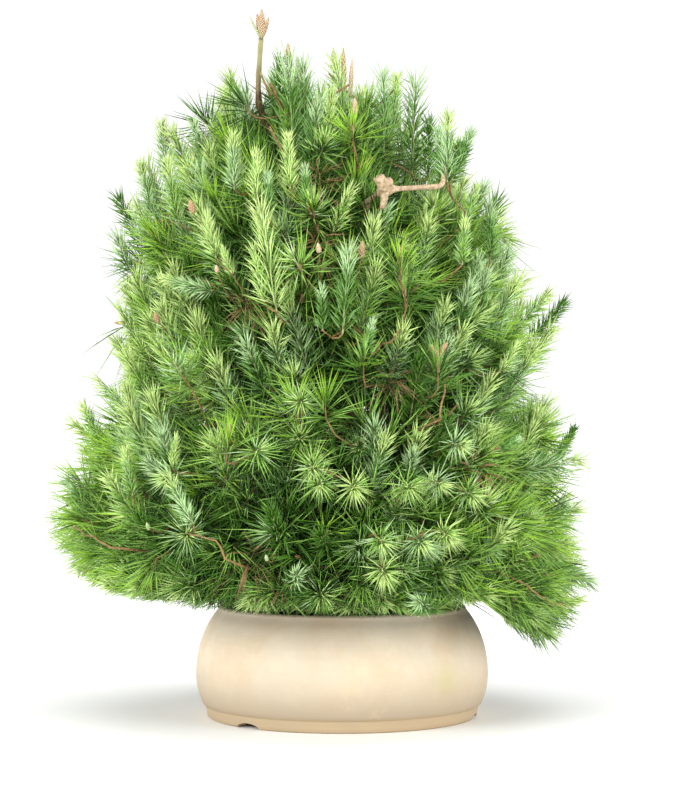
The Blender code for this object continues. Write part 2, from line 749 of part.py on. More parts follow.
def main():
    clear_scene()
    plant = new_collection("aleppo_pine_bonsai")
    guides = new_collection("cutters")
    spaces = new_collection("limb_spaces")
    parts = new_collection("mass_parts")

    stoneware = material("stoneware", (0.72, 0.60, 0.44), 0.75)
    soil = material("soil", (0.12, 0.08, 0.05), 0.95)
    bark = material("bark", (0.30, 0.19, 0.11), 0.85)
    bud = material("bud", (0.55, 0.33, 0.16), 0.7)
    greens = [material(f"needles_{i + 1}", c, 0.6) for i, c in enumerate(FOLIAGE_COLOURS)]

    make_pot(plant, guides, stoneware)
    make_soil(plant, soil)
    trunk = Limb(smooth_line(TRUNK_LINE, TRUNK_STEPS), TRUNK_RADIUS, TRUNK_TIP_RADIUS)
    clearance = make_trunk(trunk, plant, guides, bark)[1]

    masses = tier_masses()
    for mass in masses:
        mass.bough = bough_limb(mass, trunk)
    shoulder = shoulder_mass(len(masses))
    shoulder.bough, bare_span = shoulder_limb(shoulder, trunk)
    masses.append(shoulder)
    limbs = [trunk, bare_span] + [mass.bough for mass in masses]
    for mass in masses:
        mass.wall_off(masses)
        mass.limbs = limbs
    make_boughs(masses, clearance, plant, bark)
    make_limb_spaces(limbs, spaces)
    for mass in masses:
        make_mass(mass, plant, parts, greens[mass.seed % len(greens)], spaces)
    make_leader(trunk, parts, plant, bud)


main()
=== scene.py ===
"""An Aleppo pine bonsai in a round stoneware pot: pot, soil, bark, twigs, needles, buds and a plain studio.

It is laid out as a Blender add-on and run as a script. Metres, +Z up; the plant's front faces -Y.
The packed model gives the places and sizes; each function here dresses one sub-part of it.
"""

import functools
import math
import random
from collections import namedtuple

import bmesh
import bpy
import numpy as np
from bpy.props import FloatProperty, FloatVectorProperty, IntProperty, PointerProperty
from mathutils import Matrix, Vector, noise


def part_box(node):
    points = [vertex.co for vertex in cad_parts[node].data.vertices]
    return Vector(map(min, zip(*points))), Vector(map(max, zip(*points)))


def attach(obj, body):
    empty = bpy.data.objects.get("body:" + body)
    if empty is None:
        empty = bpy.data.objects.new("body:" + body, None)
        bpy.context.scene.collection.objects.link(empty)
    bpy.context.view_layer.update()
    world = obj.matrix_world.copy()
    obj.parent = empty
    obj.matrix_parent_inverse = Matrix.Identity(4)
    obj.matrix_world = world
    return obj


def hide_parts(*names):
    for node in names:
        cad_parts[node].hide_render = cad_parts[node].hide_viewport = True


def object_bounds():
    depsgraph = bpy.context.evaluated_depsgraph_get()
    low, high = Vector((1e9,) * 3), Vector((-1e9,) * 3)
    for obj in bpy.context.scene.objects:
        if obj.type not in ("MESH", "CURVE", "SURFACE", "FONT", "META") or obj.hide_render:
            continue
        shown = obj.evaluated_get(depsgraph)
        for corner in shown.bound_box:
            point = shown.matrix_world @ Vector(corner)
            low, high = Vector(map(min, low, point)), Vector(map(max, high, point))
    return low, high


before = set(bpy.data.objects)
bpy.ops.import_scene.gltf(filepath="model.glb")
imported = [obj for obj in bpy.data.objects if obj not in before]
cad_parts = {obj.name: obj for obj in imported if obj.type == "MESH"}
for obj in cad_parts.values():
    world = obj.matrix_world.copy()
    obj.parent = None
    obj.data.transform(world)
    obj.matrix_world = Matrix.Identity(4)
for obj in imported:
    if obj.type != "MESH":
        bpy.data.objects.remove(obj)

bl_info = {
    "name": "Aleppo Pine Bonsai",
    "version": (1, 0, 0),
    "blender": (4, 5, 0),
    "location": "3D View > Sidebar > Bonsai",
    "description": "Dresses a potted Aleppo pine: stoneware, soil, bark, twigs, needles, buds and a studio",
    "category": "Add Mesh",
}

BODY = "root"
UP = np.array((0.0, 0.0, 1.0))
GOLDEN_ANGLE = math.pi * (3 - math.sqrt(5))
MOST_TRIANGLES = 199_000  # in one piece
CAD_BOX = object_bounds()

# ---- the plant's plan, as the solids have it
POT_LOW, POT_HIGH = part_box("pot")
POT_X = (POT_LOW.x + POT_HIGH.x) / 2
POT_HEIGHT = POT_HIGH.z
BELLY_RADIUS = (POT_HIGH.x - POT_LOW.x) / 2
BELLY_HEIGHT = 0.038
BELLY_CENTRE_RADIUS = 0.070  # centre of the two elliptical arcs of the wall
SHOULDER_RISE = 0.0747  # vertical semi-axis of the arc above the belly
HEEL_DROP = 0.0603  # vertical semi-axis of the arc below the belly
WALL = 0.008
FOOT_HEIGHT = 0.010
FOOT_RADIUS, FOOT_TOP_RADIUS = 0.1180, 0.1205
FOOT_WIDTH = 0.012
FLOOR_HEIGHT = 0.015
RECESS_HEIGHT = 0.006
FOOT_NOTCHES = 3
FOOT_NOTCH_WIDTH, FOOT_NOTCH_HEIGHT = 0.026, 0.0045
FOOT_NOTCH_AZIMUTH = math.radians(228)

SOIL_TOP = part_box("soil")[1].z
SOIL_EDGE = 0.0840
SOIL_PLATEAU = 0.046
SOIL_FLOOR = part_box("soil")[0].z
GAP = 0.0003

TRUNK_RADIUS, TRUNK_TIP_RADIUS = 0.0165, 0.0022
TRUNK_STEPS = 2
ROOT_FLARE = 0.62
ROOT_LOBES = 5
ROOT_FLARE_HEIGHT = 0.020
TRUNK_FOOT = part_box("trunk")[0].z
# The bends of the trunk, from its foot to the leader's tip
TRUNK_LINE = (
    (0.018, 0.000, TRUNK_FOOT), (0.019, -0.001, 0.105), (0.026, -0.004, 0.150), (0.030, 0.004, 0.215),
    (0.018, 0.010, 0.290), (0.004, 0.004, 0.365), (0.000, -0.004, 0.430), (-0.022, -0.008, 0.482),
    (-0.050, -0.012, 0.522), (-0.0555, -0.012, 0.548), (-0.0530, -0.012, 0.592),
)
LEADER_TOP = np.array(TRUNK_LINE[-1]) + UP * (GAP + 0.008)
LEADER_RADIUS = TRUNK_TIP_RADIUS * 0.95
BOUGH_SHARE = 0.40
BOUGH_RADII = (0.0030, 0.0056)
BOUGH_TAPER = 0.6
BOUGH_POINTS = 5
BOUGH_ARCH = 0.10
TIP_SHARE = 0.62
CREST_SHARE = 0.80

# The crown's middle in X and half its width, at each height
CROWN_PROFILE = (
    (0.045, 0.000, 0.205), (0.080, 0.000, 0.245), (0.110, 0.001, 0.258), (0.180, 0.001, 0.258),
    (0.220, -0.002, 0.244), (0.260, 0.000, 0.234), (0.300, 0.008, 0.208), (0.340, 0.013, 0.206),
    (0.380, 0.006, 0.197), (0.420, -0.006, 0.188), (0.460, -0.012, 0.177), (0.500, -0.014, 0.153),
    (0.530, -0.014, 0.131), (0.560, -0.012, 0.104), (0.585, -0.024, 0.062), (0.600, -0.040, 0.015),
)
CROWN_DEPTH = 0.94
CROWN_MIDDLE = np.array((0.0, 0.0, 0.27))
LEAST_SHARE = 0.30
SEAM = 0.0012
CORE_SHARE = 0.56
CORE_LUMPS = 0.18
CORE_INSET = 0.003
HUB_RISE = 0.012
TUFT_DIRECTIONS = 8
INWARD_LIMIT = -0.10
OPEN_SHARE = 0.78
REACH_STEP = 0.003
MOST_REACH = 0.16
NEEDLE_SHARE = 0.48
PLUME_SHARE = 0.45
TUFT_NEEDLES = {"star": 0.044, "plume": 0.034}  # the solids' needles, which set where the main twigs end

Tier = namedtuple("Tier", "name count azimuth shift ring height radius rise trunk_height droop")
TIERS = (
    Tier("skirt", 7, 13, 0.000, 0.152, 0.160, 0.112, 0.092, 0.128, 0.022),
    Tier("lower", 5, 18, 0.002, 0.134, 0.250, 0.116, 0.092, 0.200, 0.0),
    Tier("middle", 5, 54, 0.010, 0.108, 0.352, 0.110, 0.088, 0.285, 0.0),
    Tier("upper", 4, 0, -0.008, 0.086, 0.448, 0.104, 0.086, 0.365, 0.0),
    Tier("crest", 3, 10, -0.018, 0.056, 0.520, 0.074, 0.068, 0.435, 0.0),
)
PLACE_JITTER = 0.007
BOUGH_STEP = 0.012  # from one bough of a tier to the next, up the trunk
SHOULDER_CENTRE = (0.108, -0.070, 0.496)
SHOULDER_SIZE = (0.040, 0.038)  # radius and rise
SHOULDER_TRUNK_HEIGHT = 0.425
SHOULDER_KNUCKLE = (0.054, -0.136, 0.450)
SHOULDER_BEND = (0.102, -0.112, 0.455)
SHOULDER_RADIUS = 0.0028
KNUCKLE_RADIUS = 0.0062
# What is left of limbs cut off at the knuckle: heading, length, and radii at the root and at the cut
SHOULDER_STUBS = (
    ((-0.45, -0.45, 0.75), 0.0125, (0.0060, 0.0048)),
    ((0.25, -0.60, 0.55), 0.0105, (0.0055, 0.0040)),
    ((-0.15, -0.30, -1.00), 0.0170, (0.0045, 0.0022)),
)

# ---- finer growth than the solids have
# How low foliage hangs at each X: level with the rim, and drooping past the pot's right-hand side
HANG_LINE = (
    (-0.26, 0.140), (-0.235, 0.122), (-0.205, 0.108), (-0.10, 0.098), (0.10, 0.096), (0.135, 0.103),
    (0.148, 0.100), (0.158, 0.082), (0.176, 0.063), (0.200, 0.045), (0.225, 0.047), (0.26, 0.066),
)
DROOP_EDGE = 0.148  # from this X on, foliage droops past the pot
HANG_RAGGED = (0.004, 0.022)  # how unevenly needles end above that line, over the pot and out past it
RAGGED_FROM = (0.10, 0.16)  # distances to the side between which that changes
RIM_RADIUS = 0.106
RIM_RISE = 0.094  # how much higher foliage hangs, for each metre that it stands out beyond the rim
POT_CLEARANCE = 0.003
OUTER_SPARE = (-0.010, 0.013, 0.045)  # how far needles pass the crown's profile: least, most, the odd one
LEADER_THINS = (0.500, 0.552, 0.592)  # heights between which the leader is slimmer than an even taper
LEADER_SLIM = (1.0, 0.72, 1.0)  # its radius there, as a share
LEADER_SHOWS = 0.530  # above this height the leader's stem is bare from the front
# Where sky shows between the masses at the crown's edge: (x, z) of the middle, and radius
SKY_GAPS = (
    (-0.003, 0.583, 0.017), (0.103, 0.520, 0.009), (-0.191, 0.350, 0.013), (-0.188, 0.304, 0.012),
    (0.192, 0.295, 0.010), (0.247, 0.160, 0.017), (-0.168, 0.486, 0.010), (-0.174, 0.394, 0.009),
)
BOX_SPARE = 0.010  # how far a needle may pass the solids' box
BARE_VIEW = 0.007  # needles keep this far to the side of the bare bough and the leader, in front of them

# A layer of sprays round the crown: how far under its profile their tips lie, how far apart they grow,
# how much that varies, the kinds that it holds low and high in the crown, how full they are and how much
# painted shade they take
Layer = namedtuple("Layer", "depth spread spacing low_kinds high_kinds fullness shade")
LAYERS = (
    Layer(0.000, 0.018, 0.0285, {"star": 36, "crowned": 34, "tassel": 12, "plume": 16, "lime": 2},
          {"star": 24, "crowned": 10, "tassel": 12, "plume": 48, "lime": 6}, 1.0, 0),
    Layer(0.032, 0.016, 0.0350, {"star": 50, "tassel": 30, "plume": 10, "withered": 10},
          {"star": 36, "tassel": 26, "plume": 32, "withered": 6}, 0.9, 1),
    Layer(0.070, 0.016, 0.0470, {"star": 50, "tassel": 30, "withered": 20},
          {"star": 60, "tassel": 40}, 0.8, 2),
)
UNDERSIDE = Layer(0.012, 0.008, 0.0370, {"star": 50, "tassel": 36, "withered": 14}, {"star": 1}, 0.9, 1)
LOW, HIGH = 0.19, 0.36  # heights between which the kinds and the sprays' lift change from low to high
DENT = 0.55  # how far the crown's surface sinks between masses, as a share of their size
TOP_SPREAD = 0.026  # how much more the tips' depth varies where the crown's surface faces up
MOST_OUTSIDE = 1.5  # sprays keep within this many times a mass's size
# A kind of spray: its axis, needles and how they stand. Leans are in degrees off the axis, at foot and tip
Kind = namedtuple("Kind", "group axis needle count foot_lean tip_lean scatter shorter thickness droop lift")
KINDS = {
    "star": Kind("long", 0.016, 0.061, 50, 104, 14, 11.0, 0.15, 0.00116, 0.10, 0.50),
    "tassel": Kind("long", 0.036, 0.056, 60, 70, 12, 9.0, 0.20, 0.00116, 0.08, 0.90),
    "withered": Kind("long", 0.022, 0.042, 30, 120, 40, 28.0, 0.10, 0.00095, 0.38, 0.0),
    "plume": Kind("plume", 0.060, 0.0240, 132, 54, 26, 9.0, 0.16, 0.00130, 0.00, 1.70),
    "lime": Kind("plume", 0.042, 0.0200, 92, 46, 18, 9.0, 0.18, 0.00130, 0.00, 1.70),
    "rosette": Kind("plume", 0.014, 0.0300, 58, 92, 14, 9.0, 0.22, 0.00125, 0.00, 0.50),
}
SPRAY_JITTER = 0.22
LEAST_TWIG = 0.012
MOST_BEND = 0.016
TWIG_POINTS = 4
AXIS_POINTS = 3
TWIG_RADII = {  # at the root and at the tip
    "stem": (0.0030, 0.0018), "main": (0.0014, 0.0009), "bare": (0.0012, 0.0005),
    "stalk": (0.00096, 0.0004), "fine": (0.0010, 0.0007), "axis": (0.0007, 0.0004),
}
AXIS_CURL = 0.25

# A spray on the plant. A free one may pass the crown's profile
Spray = namedtuple("Spray", "tier foot heading kind tint scale fullness seed free")
Twig = namedtuple("Twig", "path radii")

# Shoots that stand out at the front: kind, finish, the places (x, z) of foot and tip, and how far they are
# behind the crown's front there
SHOOTS = (
    ("plume", "bluish", (-0.023, 0.483), (-0.029, 0.569), 0.030),
    ("plume", "bluish", (-0.013, 0.495), (-0.016, 0.566), 0.050),
    ("plume", "green", (-0.040, 0.509), (-0.036, 0.572), 0.060),
    ("plume", "fresh", (0.022, 0.504), (0.012, 0.572), 0.050),
    ("plume", "bluish", (0.054, 0.490), (0.054, 0.557), 0.040),
    ("plume", "fresh", (0.063, 0.512), (0.066, 0.560), 0.060),
    ("plume", "bluish", (0.079, 0.474), (0.083, 0.557), 0.045),
    ("plume", "green", (0.094, 0.470), (0.095, 0.521), 0.070),
    ("plume", "bloom", (-0.070, 0.450), (-0.072, 0.494), 0.004),
    ("plume", "lime", (-0.024, 0.450), (-0.026, 0.493), 0.004),
    ("lime", "lime", (-0.051, 0.438), (-0.052, 0.479), 0.002),
    ("plume", "bluish", (-0.041, 0.428), (-0.042, 0.460), 0.006),
    ("plume", "bluish", (-0.010, 0.437), (-0.012, 0.466), 0.010),
    ("plume", "bloom", (-0.136, 0.471), (-0.144, 0.523), 0.060),
    ("plume", "bloom", (-0.146, 0.437), (-0.161, 0.483), 0.060),
    ("plume", "fresh", (-0.119, 0.426), (-0.131, 0.478), 0.030),
    ("plume", "green", (-0.157, 0.408), (-0.191, 0.460), 0.080),
    ("plume", "lime", (-0.034, 0.348), (-0.049, 0.432), 0.000),
    ("lime", "lime", (-0.044, 0.356), (-0.054, 0.398), 0.000),
    ("lime", "lime", (-0.084, 0.393), (-0.093, 0.427), 0.002),
    ("lime", "lime", (-0.070, 0.378), (-0.079, 0.399), 0.004),
    ("plume", "bloom", (-0.088, 0.367), (-0.132, 0.374), 0.006),
    ("plume", "bluish", (0.019, 0.330), (0.025, 0.396), 0.000),
    ("plume", "bluish", (0.003, 0.333), (0.002, 0.367), 0.004),
    ("plume", "fresh", (0.118, 0.389), (0.121, 0.426), 0.010),
    ("plume", "fresh", (0.122, 0.427), (0.134, 0.457), 0.020),
    ("plume", "bluish", (0.145, 0.394), (0.145, 0.443), 0.030),
    ("plume", "fresh", (0.162, 0.334), (0.203, 0.367), 0.040),
    ("plume", "green", (0.184, 0.329), (0.222, 0.362), 0.050),
    ("lime", "lime", (0.149, 0.300), (0.166, 0.323), 0.010),
    ("plume", "bluish", (0.036, 0.311), (0.044, 0.339), 0.004),
    ("plume", "bloom", (-0.099, 0.179), (-0.121, 0.215), 0.000),
    ("lime", "lime", (-0.117, 0.223), (-0.114, 0.247), 0.004),
    ("plume", "fresh", (-0.152, 0.199), (-0.159, 0.235), 0.020),
    ("plume", "fresh", (-0.190, 0.238), (-0.211, 0.270), 0.060),
    ("plume", "bluish", (-0.187, 0.176), (-0.223, 0.205), 0.060),
    ("plume", "bluish", (0.182, 0.142), (0.243, 0.106), 0.080),
    ("plume", "green", (0.206, 0.223), (0.227, 0.250), 0.080),
    ("plume", "bluish", (0.148, 0.238), (0.166, 0.244), 0.020),
    ("star", "vivid", (0.028, 0.490), (0.026, 0.516), 0.014),
    ("star", "deep", (-0.058, 0.520), (-0.078, 0.545), 0.040),
    ("star", "light", (0.066, 0.372), (0.066, 0.402), 0.000),
    ("star", "green", (0.070, 0.350), (0.068, 0.376), 0.006),
    ("star", "light", (-0.073, 0.228), (-0.071, 0.258), 0.000),
    ("star", "light", (0.006, 0.262), (0.004, 0.290), 0.000),
    ("star", "light", (-0.018, 0.262), (-0.020, 0.290), 0.004),
    ("star", "green", (0.036, 0.294), (0.036, 0.322), 0.004),
    ("star", "green", (0.096, 0.286), (0.096, 0.318), 0.004),
    ("star", "deep", (-0.150, 0.395), (-0.180, 0.402), 0.090),
    ("star", "light", (-0.160, 0.160), (-0.200, 0.170), 0.080),
    ("star", "green", (-0.162, 0.190), (-0.196, 0.214), 0.090),
    ("star", "light", (-0.192, 0.172), (-0.222, 0.180), 0.050),
    ("star", "light", (-0.196, 0.192), (-0.220, 0.214), 0.070),
    ("star", "light", (-0.176, 0.150), (-0.203, 0.141), 0.050),
    ("star", "light", (-0.130, 0.150), (-0.140, 0.122), 0.020),
    ("star", "green", (0.176, 0.205), (0.214, 0.214), 0.090),
    ("star", "green", (0.178, 0.178), (0.212, 0.170), 0.080),
    ("star", "green", (0.170, 0.120), (0.185, 0.095), 0.060),
    ("star", "deep", (-0.095, 0.510), (-0.112, 0.532), 0.060),
)
ROSETTES = (  # young rosettes that face the front: finish and place (x, z)
    ("lime", (0.029, 0.204)), ("fresh", (0.075, 0.204)), ("bloom", (0.100, 0.207)),
    ("fresh", (0.127, 0.198)), ("bloom", (0.118, 0.239)), ("fresh", (0.052, 0.160)),
    ("bloom", (0.084, 0.159)), ("lime", (0.106, 0.165)), ("lime", (0.054, 0.135)),
    ("fresh", (0.002, 0.207)), ("fresh", (-0.004, 0.220)), ("fresh", (-0.015, 0.275)),
    ("bloom", (-0.126, 0.212)),
)
WITHERED = (  # brown, withered sprays that show at the front, by their place (x, z)
    (0.000, 0.474), (-0.066, 0.366), (-0.001, 0.416), (0.140, 0.212), (0.066, 0.292), (-0.058, 0.140),
)
# Brown twigs that show at the front: their points (x, z) from inside out, and how far behind the front
BARE_TWIGS = (
    (((-0.066, 0.150), (-0.082, 0.166), (-0.104, 0.172)), 0.006),
    (((-0.158, 0.157), (-0.183, 0.165), (-0.204, 0.173)), 0.006),
    (((0.162, 0.130), (0.182, 0.114), (0.206, 0.104)), 0.034),
    (((0.094, 0.262), (0.100, 0.284), (0.108, 0.300)), 0.010),
)
# Buds that stand out at the front: finish, (x, z) of foot and tip, radius, and how far behind the front
MARKED_BUDS = (
    ("scale", (-0.028, 0.569), (-0.030, 0.592), 0.0030, 0.028),
    ("green", (0.010, 0.574), (0.010, 0.597), 0.0026, 0.048),
    ("scale", (0.019, 0.557), (0.019, 0.597), 0.0030, 0.052),
    ("fringe", (0.025, 0.545), (0.027, 0.581), 0.0022, 0.050),
    ("fringe", (0.029, 0.519), (0.029, 0.534), 0.0030, 0.030),
    ("fringe", (-0.140, 0.507), (-0.146, 0.531), 0.0026, 0.058),
    ("scale", (-0.108, 0.518), (-0.116, 0.524), 0.0024, 0.060),
    ("scale", (-0.104, 0.431), (-0.107, 0.442), 0.0034, 0.000),
    ("scale", (0.034, 0.392), (0.035, 0.406), 0.0032, 0.000),
    ("scale", (0.066, 0.387), (0.065, 0.403), 0.0030, -0.002),
    ("scale", (0.095, 0.312), (0.089, 0.323), 0.0028, -0.002),
    ("scale", (0.096, 0.312), (0.104, 0.324), 0.0028, -0.002),
    ("fringe", (0.000, 0.396), (-0.001, 0.404), 0.0026, 0.000),
    ("fringe", (-0.083, 0.381), (-0.084, 0.387), 0.0024, 0.000),
    ("scale", (-0.135, 0.342), (-0.138, 0.350), 0.0030, 0.010),
    ("scale", (-0.072, 0.250), (-0.071, 0.260), 0.0030, -0.002),
    ("green", (-0.136, 0.173), (-0.138, 0.179), 0.0022, 0.010),
    ("green", (-0.040, 0.151), (-0.041, 0.156), 0.0018, 0.004),
)
BUD_SINK = 0.004  # those buds sit this much deeper, among their neighbours
LIT_SIDE = 30.0  # painted light: how much paler the needles are dealt low on the left, on the key light's side, where young growth also is
MARKED_SINK = 0.008  # marked shoots sit this much deeper, among their neighbours
MOST_LEAN = 0.22  # how far back a marked shoot leans, as a share of its length
# The bare bough's own shoots: kind, finish, and the places of foot and tip
SHOULDER_SHOOTS = (
    ("plume", "bloom", (0.106, -0.104, 0.459), (0.107, -0.100, 0.514)),
    ("plume", "bluish", (0.110, -0.104, 0.461), (0.128, -0.096, 0.500)),
    ("plume", "bluish", (0.104, -0.096, 0.458), (0.099, -0.080, 0.503)),
    ("plume", "green", (0.108, -0.098, 0.457), (0.120, -0.070, 0.492)),
)
SHOOT_SPACE = 0.014  # other sprays keep this far from a marked shoot


# ---- settings
def colour(name, description, default):
    """A colour to set."""
    return FloatVectorProperty(
        name=name, description=description, subtype="COLOR", size=3, min=0.0, max=1.0, default=default
    )


def length(name, description, default):
    """A length to set, in metres."""
    return FloatProperty(
        name=name, description=description, unit="LENGTH", min=0.0, precision=5, default=default
    )


def amount(name, description, default, least=0.0, most=1000.0):
    """A plain number to set."""
    return FloatProperty(name=name, description=description, min=least, max=most, default=default)


class PotSettings(bpy.types.PropertyGroup):
    """Finish of the stoneware pot"""

    clay: colour("Clay", "Colour of the bare stoneware", (0.582, 0.500, 0.382))
    blush: colour("Blush", "Warmer clay that shows through in soft patches", (0.580, 0.460, 0.320))
    stain: colour("Stain", "Colour of the soft mineral stain", (0.500, 0.440, 0.225))
    foot: colour("Foot", "Colour of the foot, which the kiln left darker", (0.400, 0.300, 0.175))
    unevenness: length("Unevenness", "How far the thrown wall strays from a true circle", 0.00035)
    sides: IntProperty(name="Sides", description="Facets round the pot", min=24, max=512, default=192)


class SoilSettings(bpy.types.PropertyGroup):
    """Finish of the soil in the pot"""

    earth: colour("Earth", "Colour of the damp soil", (0.050, 0.030, 0.018))
    grit: colour("Grit", "Colour of the pale grit in it", (0.26, 0.21, 0.15))
    roughness: length("Relief", "Height of the crumbs on its surface", 0.0022)
    grains: IntProperty(name="Grains", description="Loose grains on the soil", min=1, max=4000, default=620)


class BarkSettings(bpy.types.PropertyGroup):
    """Finish of the trunk, the boughs and the twigs"""

    old: colour("Old bark", "Colour of the trunk's plates", (0.20, 0.115, 0.060))
    furrow: colour("Furrow", "Colour down in the furrows", (0.055, 0.030, 0.017))
    pale: colour("Pale wood", "Colour of the bare, pruned bough", (0.470, 0.345, 0.215))
    twig: colour("Twig", "Colour of the brown twigs", (0.220, 0.132, 0.050))
    shoot: colour("Shoot", "Colour of this year's green stems", (0.480, 0.520, 0.230))
    leader: colour("Leader", "Colour of the leader's bare stem", (0.310, 0.300, 0.135))
    relief: length("Relief", "Depth of the trunk's furrows", 0.0011)


class NeedleSettings(bpy.types.PropertyGroup):
    """Sizes and colours of the needles"""

    # Painted shade as well as older needles: this darkest copy of the long needles' green goes to sprays
    # deep in the crown
    deep: colour("Deep green", "Old needles inside the crown", (0.016, 0.054, 0.003))
    green: colour("Green", "Long needles", (0.068, 0.180, 0.014))
    # Painted light as well as younger needles: this paler copy of the long needles' green goes where the
    # crown is painted as lit
    light: colour("Light green", "Long needles at the outside", (0.210, 0.378, 0.064))
    vivid: colour("Vivid green", "Long needles at the heart of a young star", (0.240, 0.440, 0.030))
    bluish: colour("Blue green", "Young bloomed needles", (0.148, 0.305, 0.074))
    bloom: colour("Pale bloom", "The palest bloomed needles", (0.360, 0.525, 0.245))
    fresh: colour("Fresh green", "Young needles without bloom", (0.245, 0.445, 0.085))
    lime: colour("Lime", "Needles of the newest shoots", (0.465, 0.622, 0.205))
    straw: colour("Straw", "Withered needles", (0.235, 0.140, 0.062))
    stoutness: amount("Stoutness", "Needle thickness, as a share of the usual", 1.0, 0.3, 3.0)
    fullness: amount("Fullness", "Needles in a spray, as a share of the usual", 1.0, 0.1, 2.0)


class BudSettings(bpy.types.PropertyGroup):
    """Finish of the buds"""

    scale: colour("Scale", "Colour of the bud scales", (0.410, 0.245, 0.125))
    fringe: colour("Fringe", "Colour of the scales' pale edges", (0.620, 0.465, 0.295))
    green: colour("Green bud", "Colour of the soft green buds", (0.42, 0.50, 0.24))


class StageSettings(bpy.types.PropertyGroup):
    """Floor, light and camera"""

    floor: colour("Floor", "Colour of the floor", (0.95, 0.95, 0.945))
    key: amount("Key", "Strength of the soft light from the left", 3.2)
    fill: amount("Fill", "Strength of the soft light from the right", 2.95)
    top: amount("Top", "Strength of the soft light from above", 1.4)
    sky: amount("Sky", "Brightness overhead", 0.42)
    backdrop: amount("Backdrop", "Brightness round the horizon", 1.08)
    distance: length("Distance", "From the camera to the pot's axis", 2.0)
    height: length("Height", "Of the camera above the floor", 0.277)
    lens: amount("Lens", "Focal length in millimetres", 102.1, 10.0)


# ---- finishes
def add_node(tree, kind, output, inputs, **options):
    """One output of a new node. Its inputs are numbers, colours or other nodes' outputs."""
    made = tree.nodes.new("ShaderNode" + kind)
    for option, choice in options.items():
        setattr(made, option, choice)
    for socket, value in inputs.items():
        if isinstance(value, bpy.types.NodeSocket):
            tree.links.new(value, made.inputs[socket])
        else:
            made.inputs[socket].default_value = value
    return made.outputs[output]


def smooth_fade(tree, value, start, end, low, high):
    """A value mapped smoothly from start..end to low..high."""
    inputs = {"Value": value, "From Min": start, "From Max": end, "To Min": low, "To Max": high}
    return add_node(tree, "MapRange", "Result", inputs, interpolation_type="SMOOTHSTEP")


class Finish:
    """A procedural material: one shader, and the patterns that drive it."""

    def __init__(self, name, roughness, specular=0.5):
        self.material = bpy.data.materials.new(name)
        self.material.use_nodes = True
        self.tree = self.material.node_tree
        self.shader = self.tree.nodes["Principled BSDF"]
        self.shader.inputs["Roughness"].default_value = roughness
        self.shader.inputs["Specular IOR Level"].default_value = specular
        self.place = add_node(self.tree, "TexCoord", "Object", {})

    def stretch(self, scale):
        """The place on the piece, scaled along each axis."""
        return add_node(self.tree, "Mapping", "Vector", {"Vector": self.place, "Scale": scale})

    def noise(self, scale, detail=3.0, roughness=0.5, place=None):
        """A cloudy pattern from 0 to 1."""
        inputs = {"Scale": scale, "Detail": detail, "Roughness": roughness, "Vector": place or self.place}
        return add_node(self.tree, "TexNoise", "Fac", inputs)

    def height(self):
        """Height above the floor."""
        return add_node(self.tree, "SeparateXYZ", "Z", {"Vector": self.place})

    def distance_to(self, point):
        """The distance from a point."""
        return add_node(self.tree, "VectorMath", "Value", {0: self.place, 1: point}, operation="DISTANCE")

    def fade(self, value, start, end, low=0.0, high=1.0):
        """A pattern mapped smoothly from start..end to low..high."""
        return smooth_fade(self.tree, value, start, end, low, high)

    def math(self, operation, a, b):
        """Two numbers or patterns put together."""
        return add_node(self.tree, "Math", "Value", {0: a, 1: b}, operation=operation)

    def blend(self, share, low, high):
        """A colour between two, which are colours or sockets."""
        inputs = {"Factor": share}
        for socket, tone in ((6, low), (7, high)):
            inputs[socket] = tone if isinstance(tone, bpy.types.NodeSocket) else (*tone, 1.0)
        return add_node(self.tree, "Mix", 2, inputs, data_type="RGBA")

    def drive(self, socket, value):
        """Lets a pattern set one of the shader's sockets."""
        self.tree.links.new(value, self.shader.inputs[socket])
        return self

    def bump(self, height, depth, strength=1.0):
        """Lets a pattern raise the surface by up to a depth in metres."""
        inputs = {"Distance": depth, "Strength": strength, "Height": height}
        return self.drive("Normal", add_node(self.tree, "Bump", "Normal", inputs))


def shaded(tone, share):
    """A colour made lighter or darker."""
    return tuple(min(1.0, channel * share) for channel in tone)


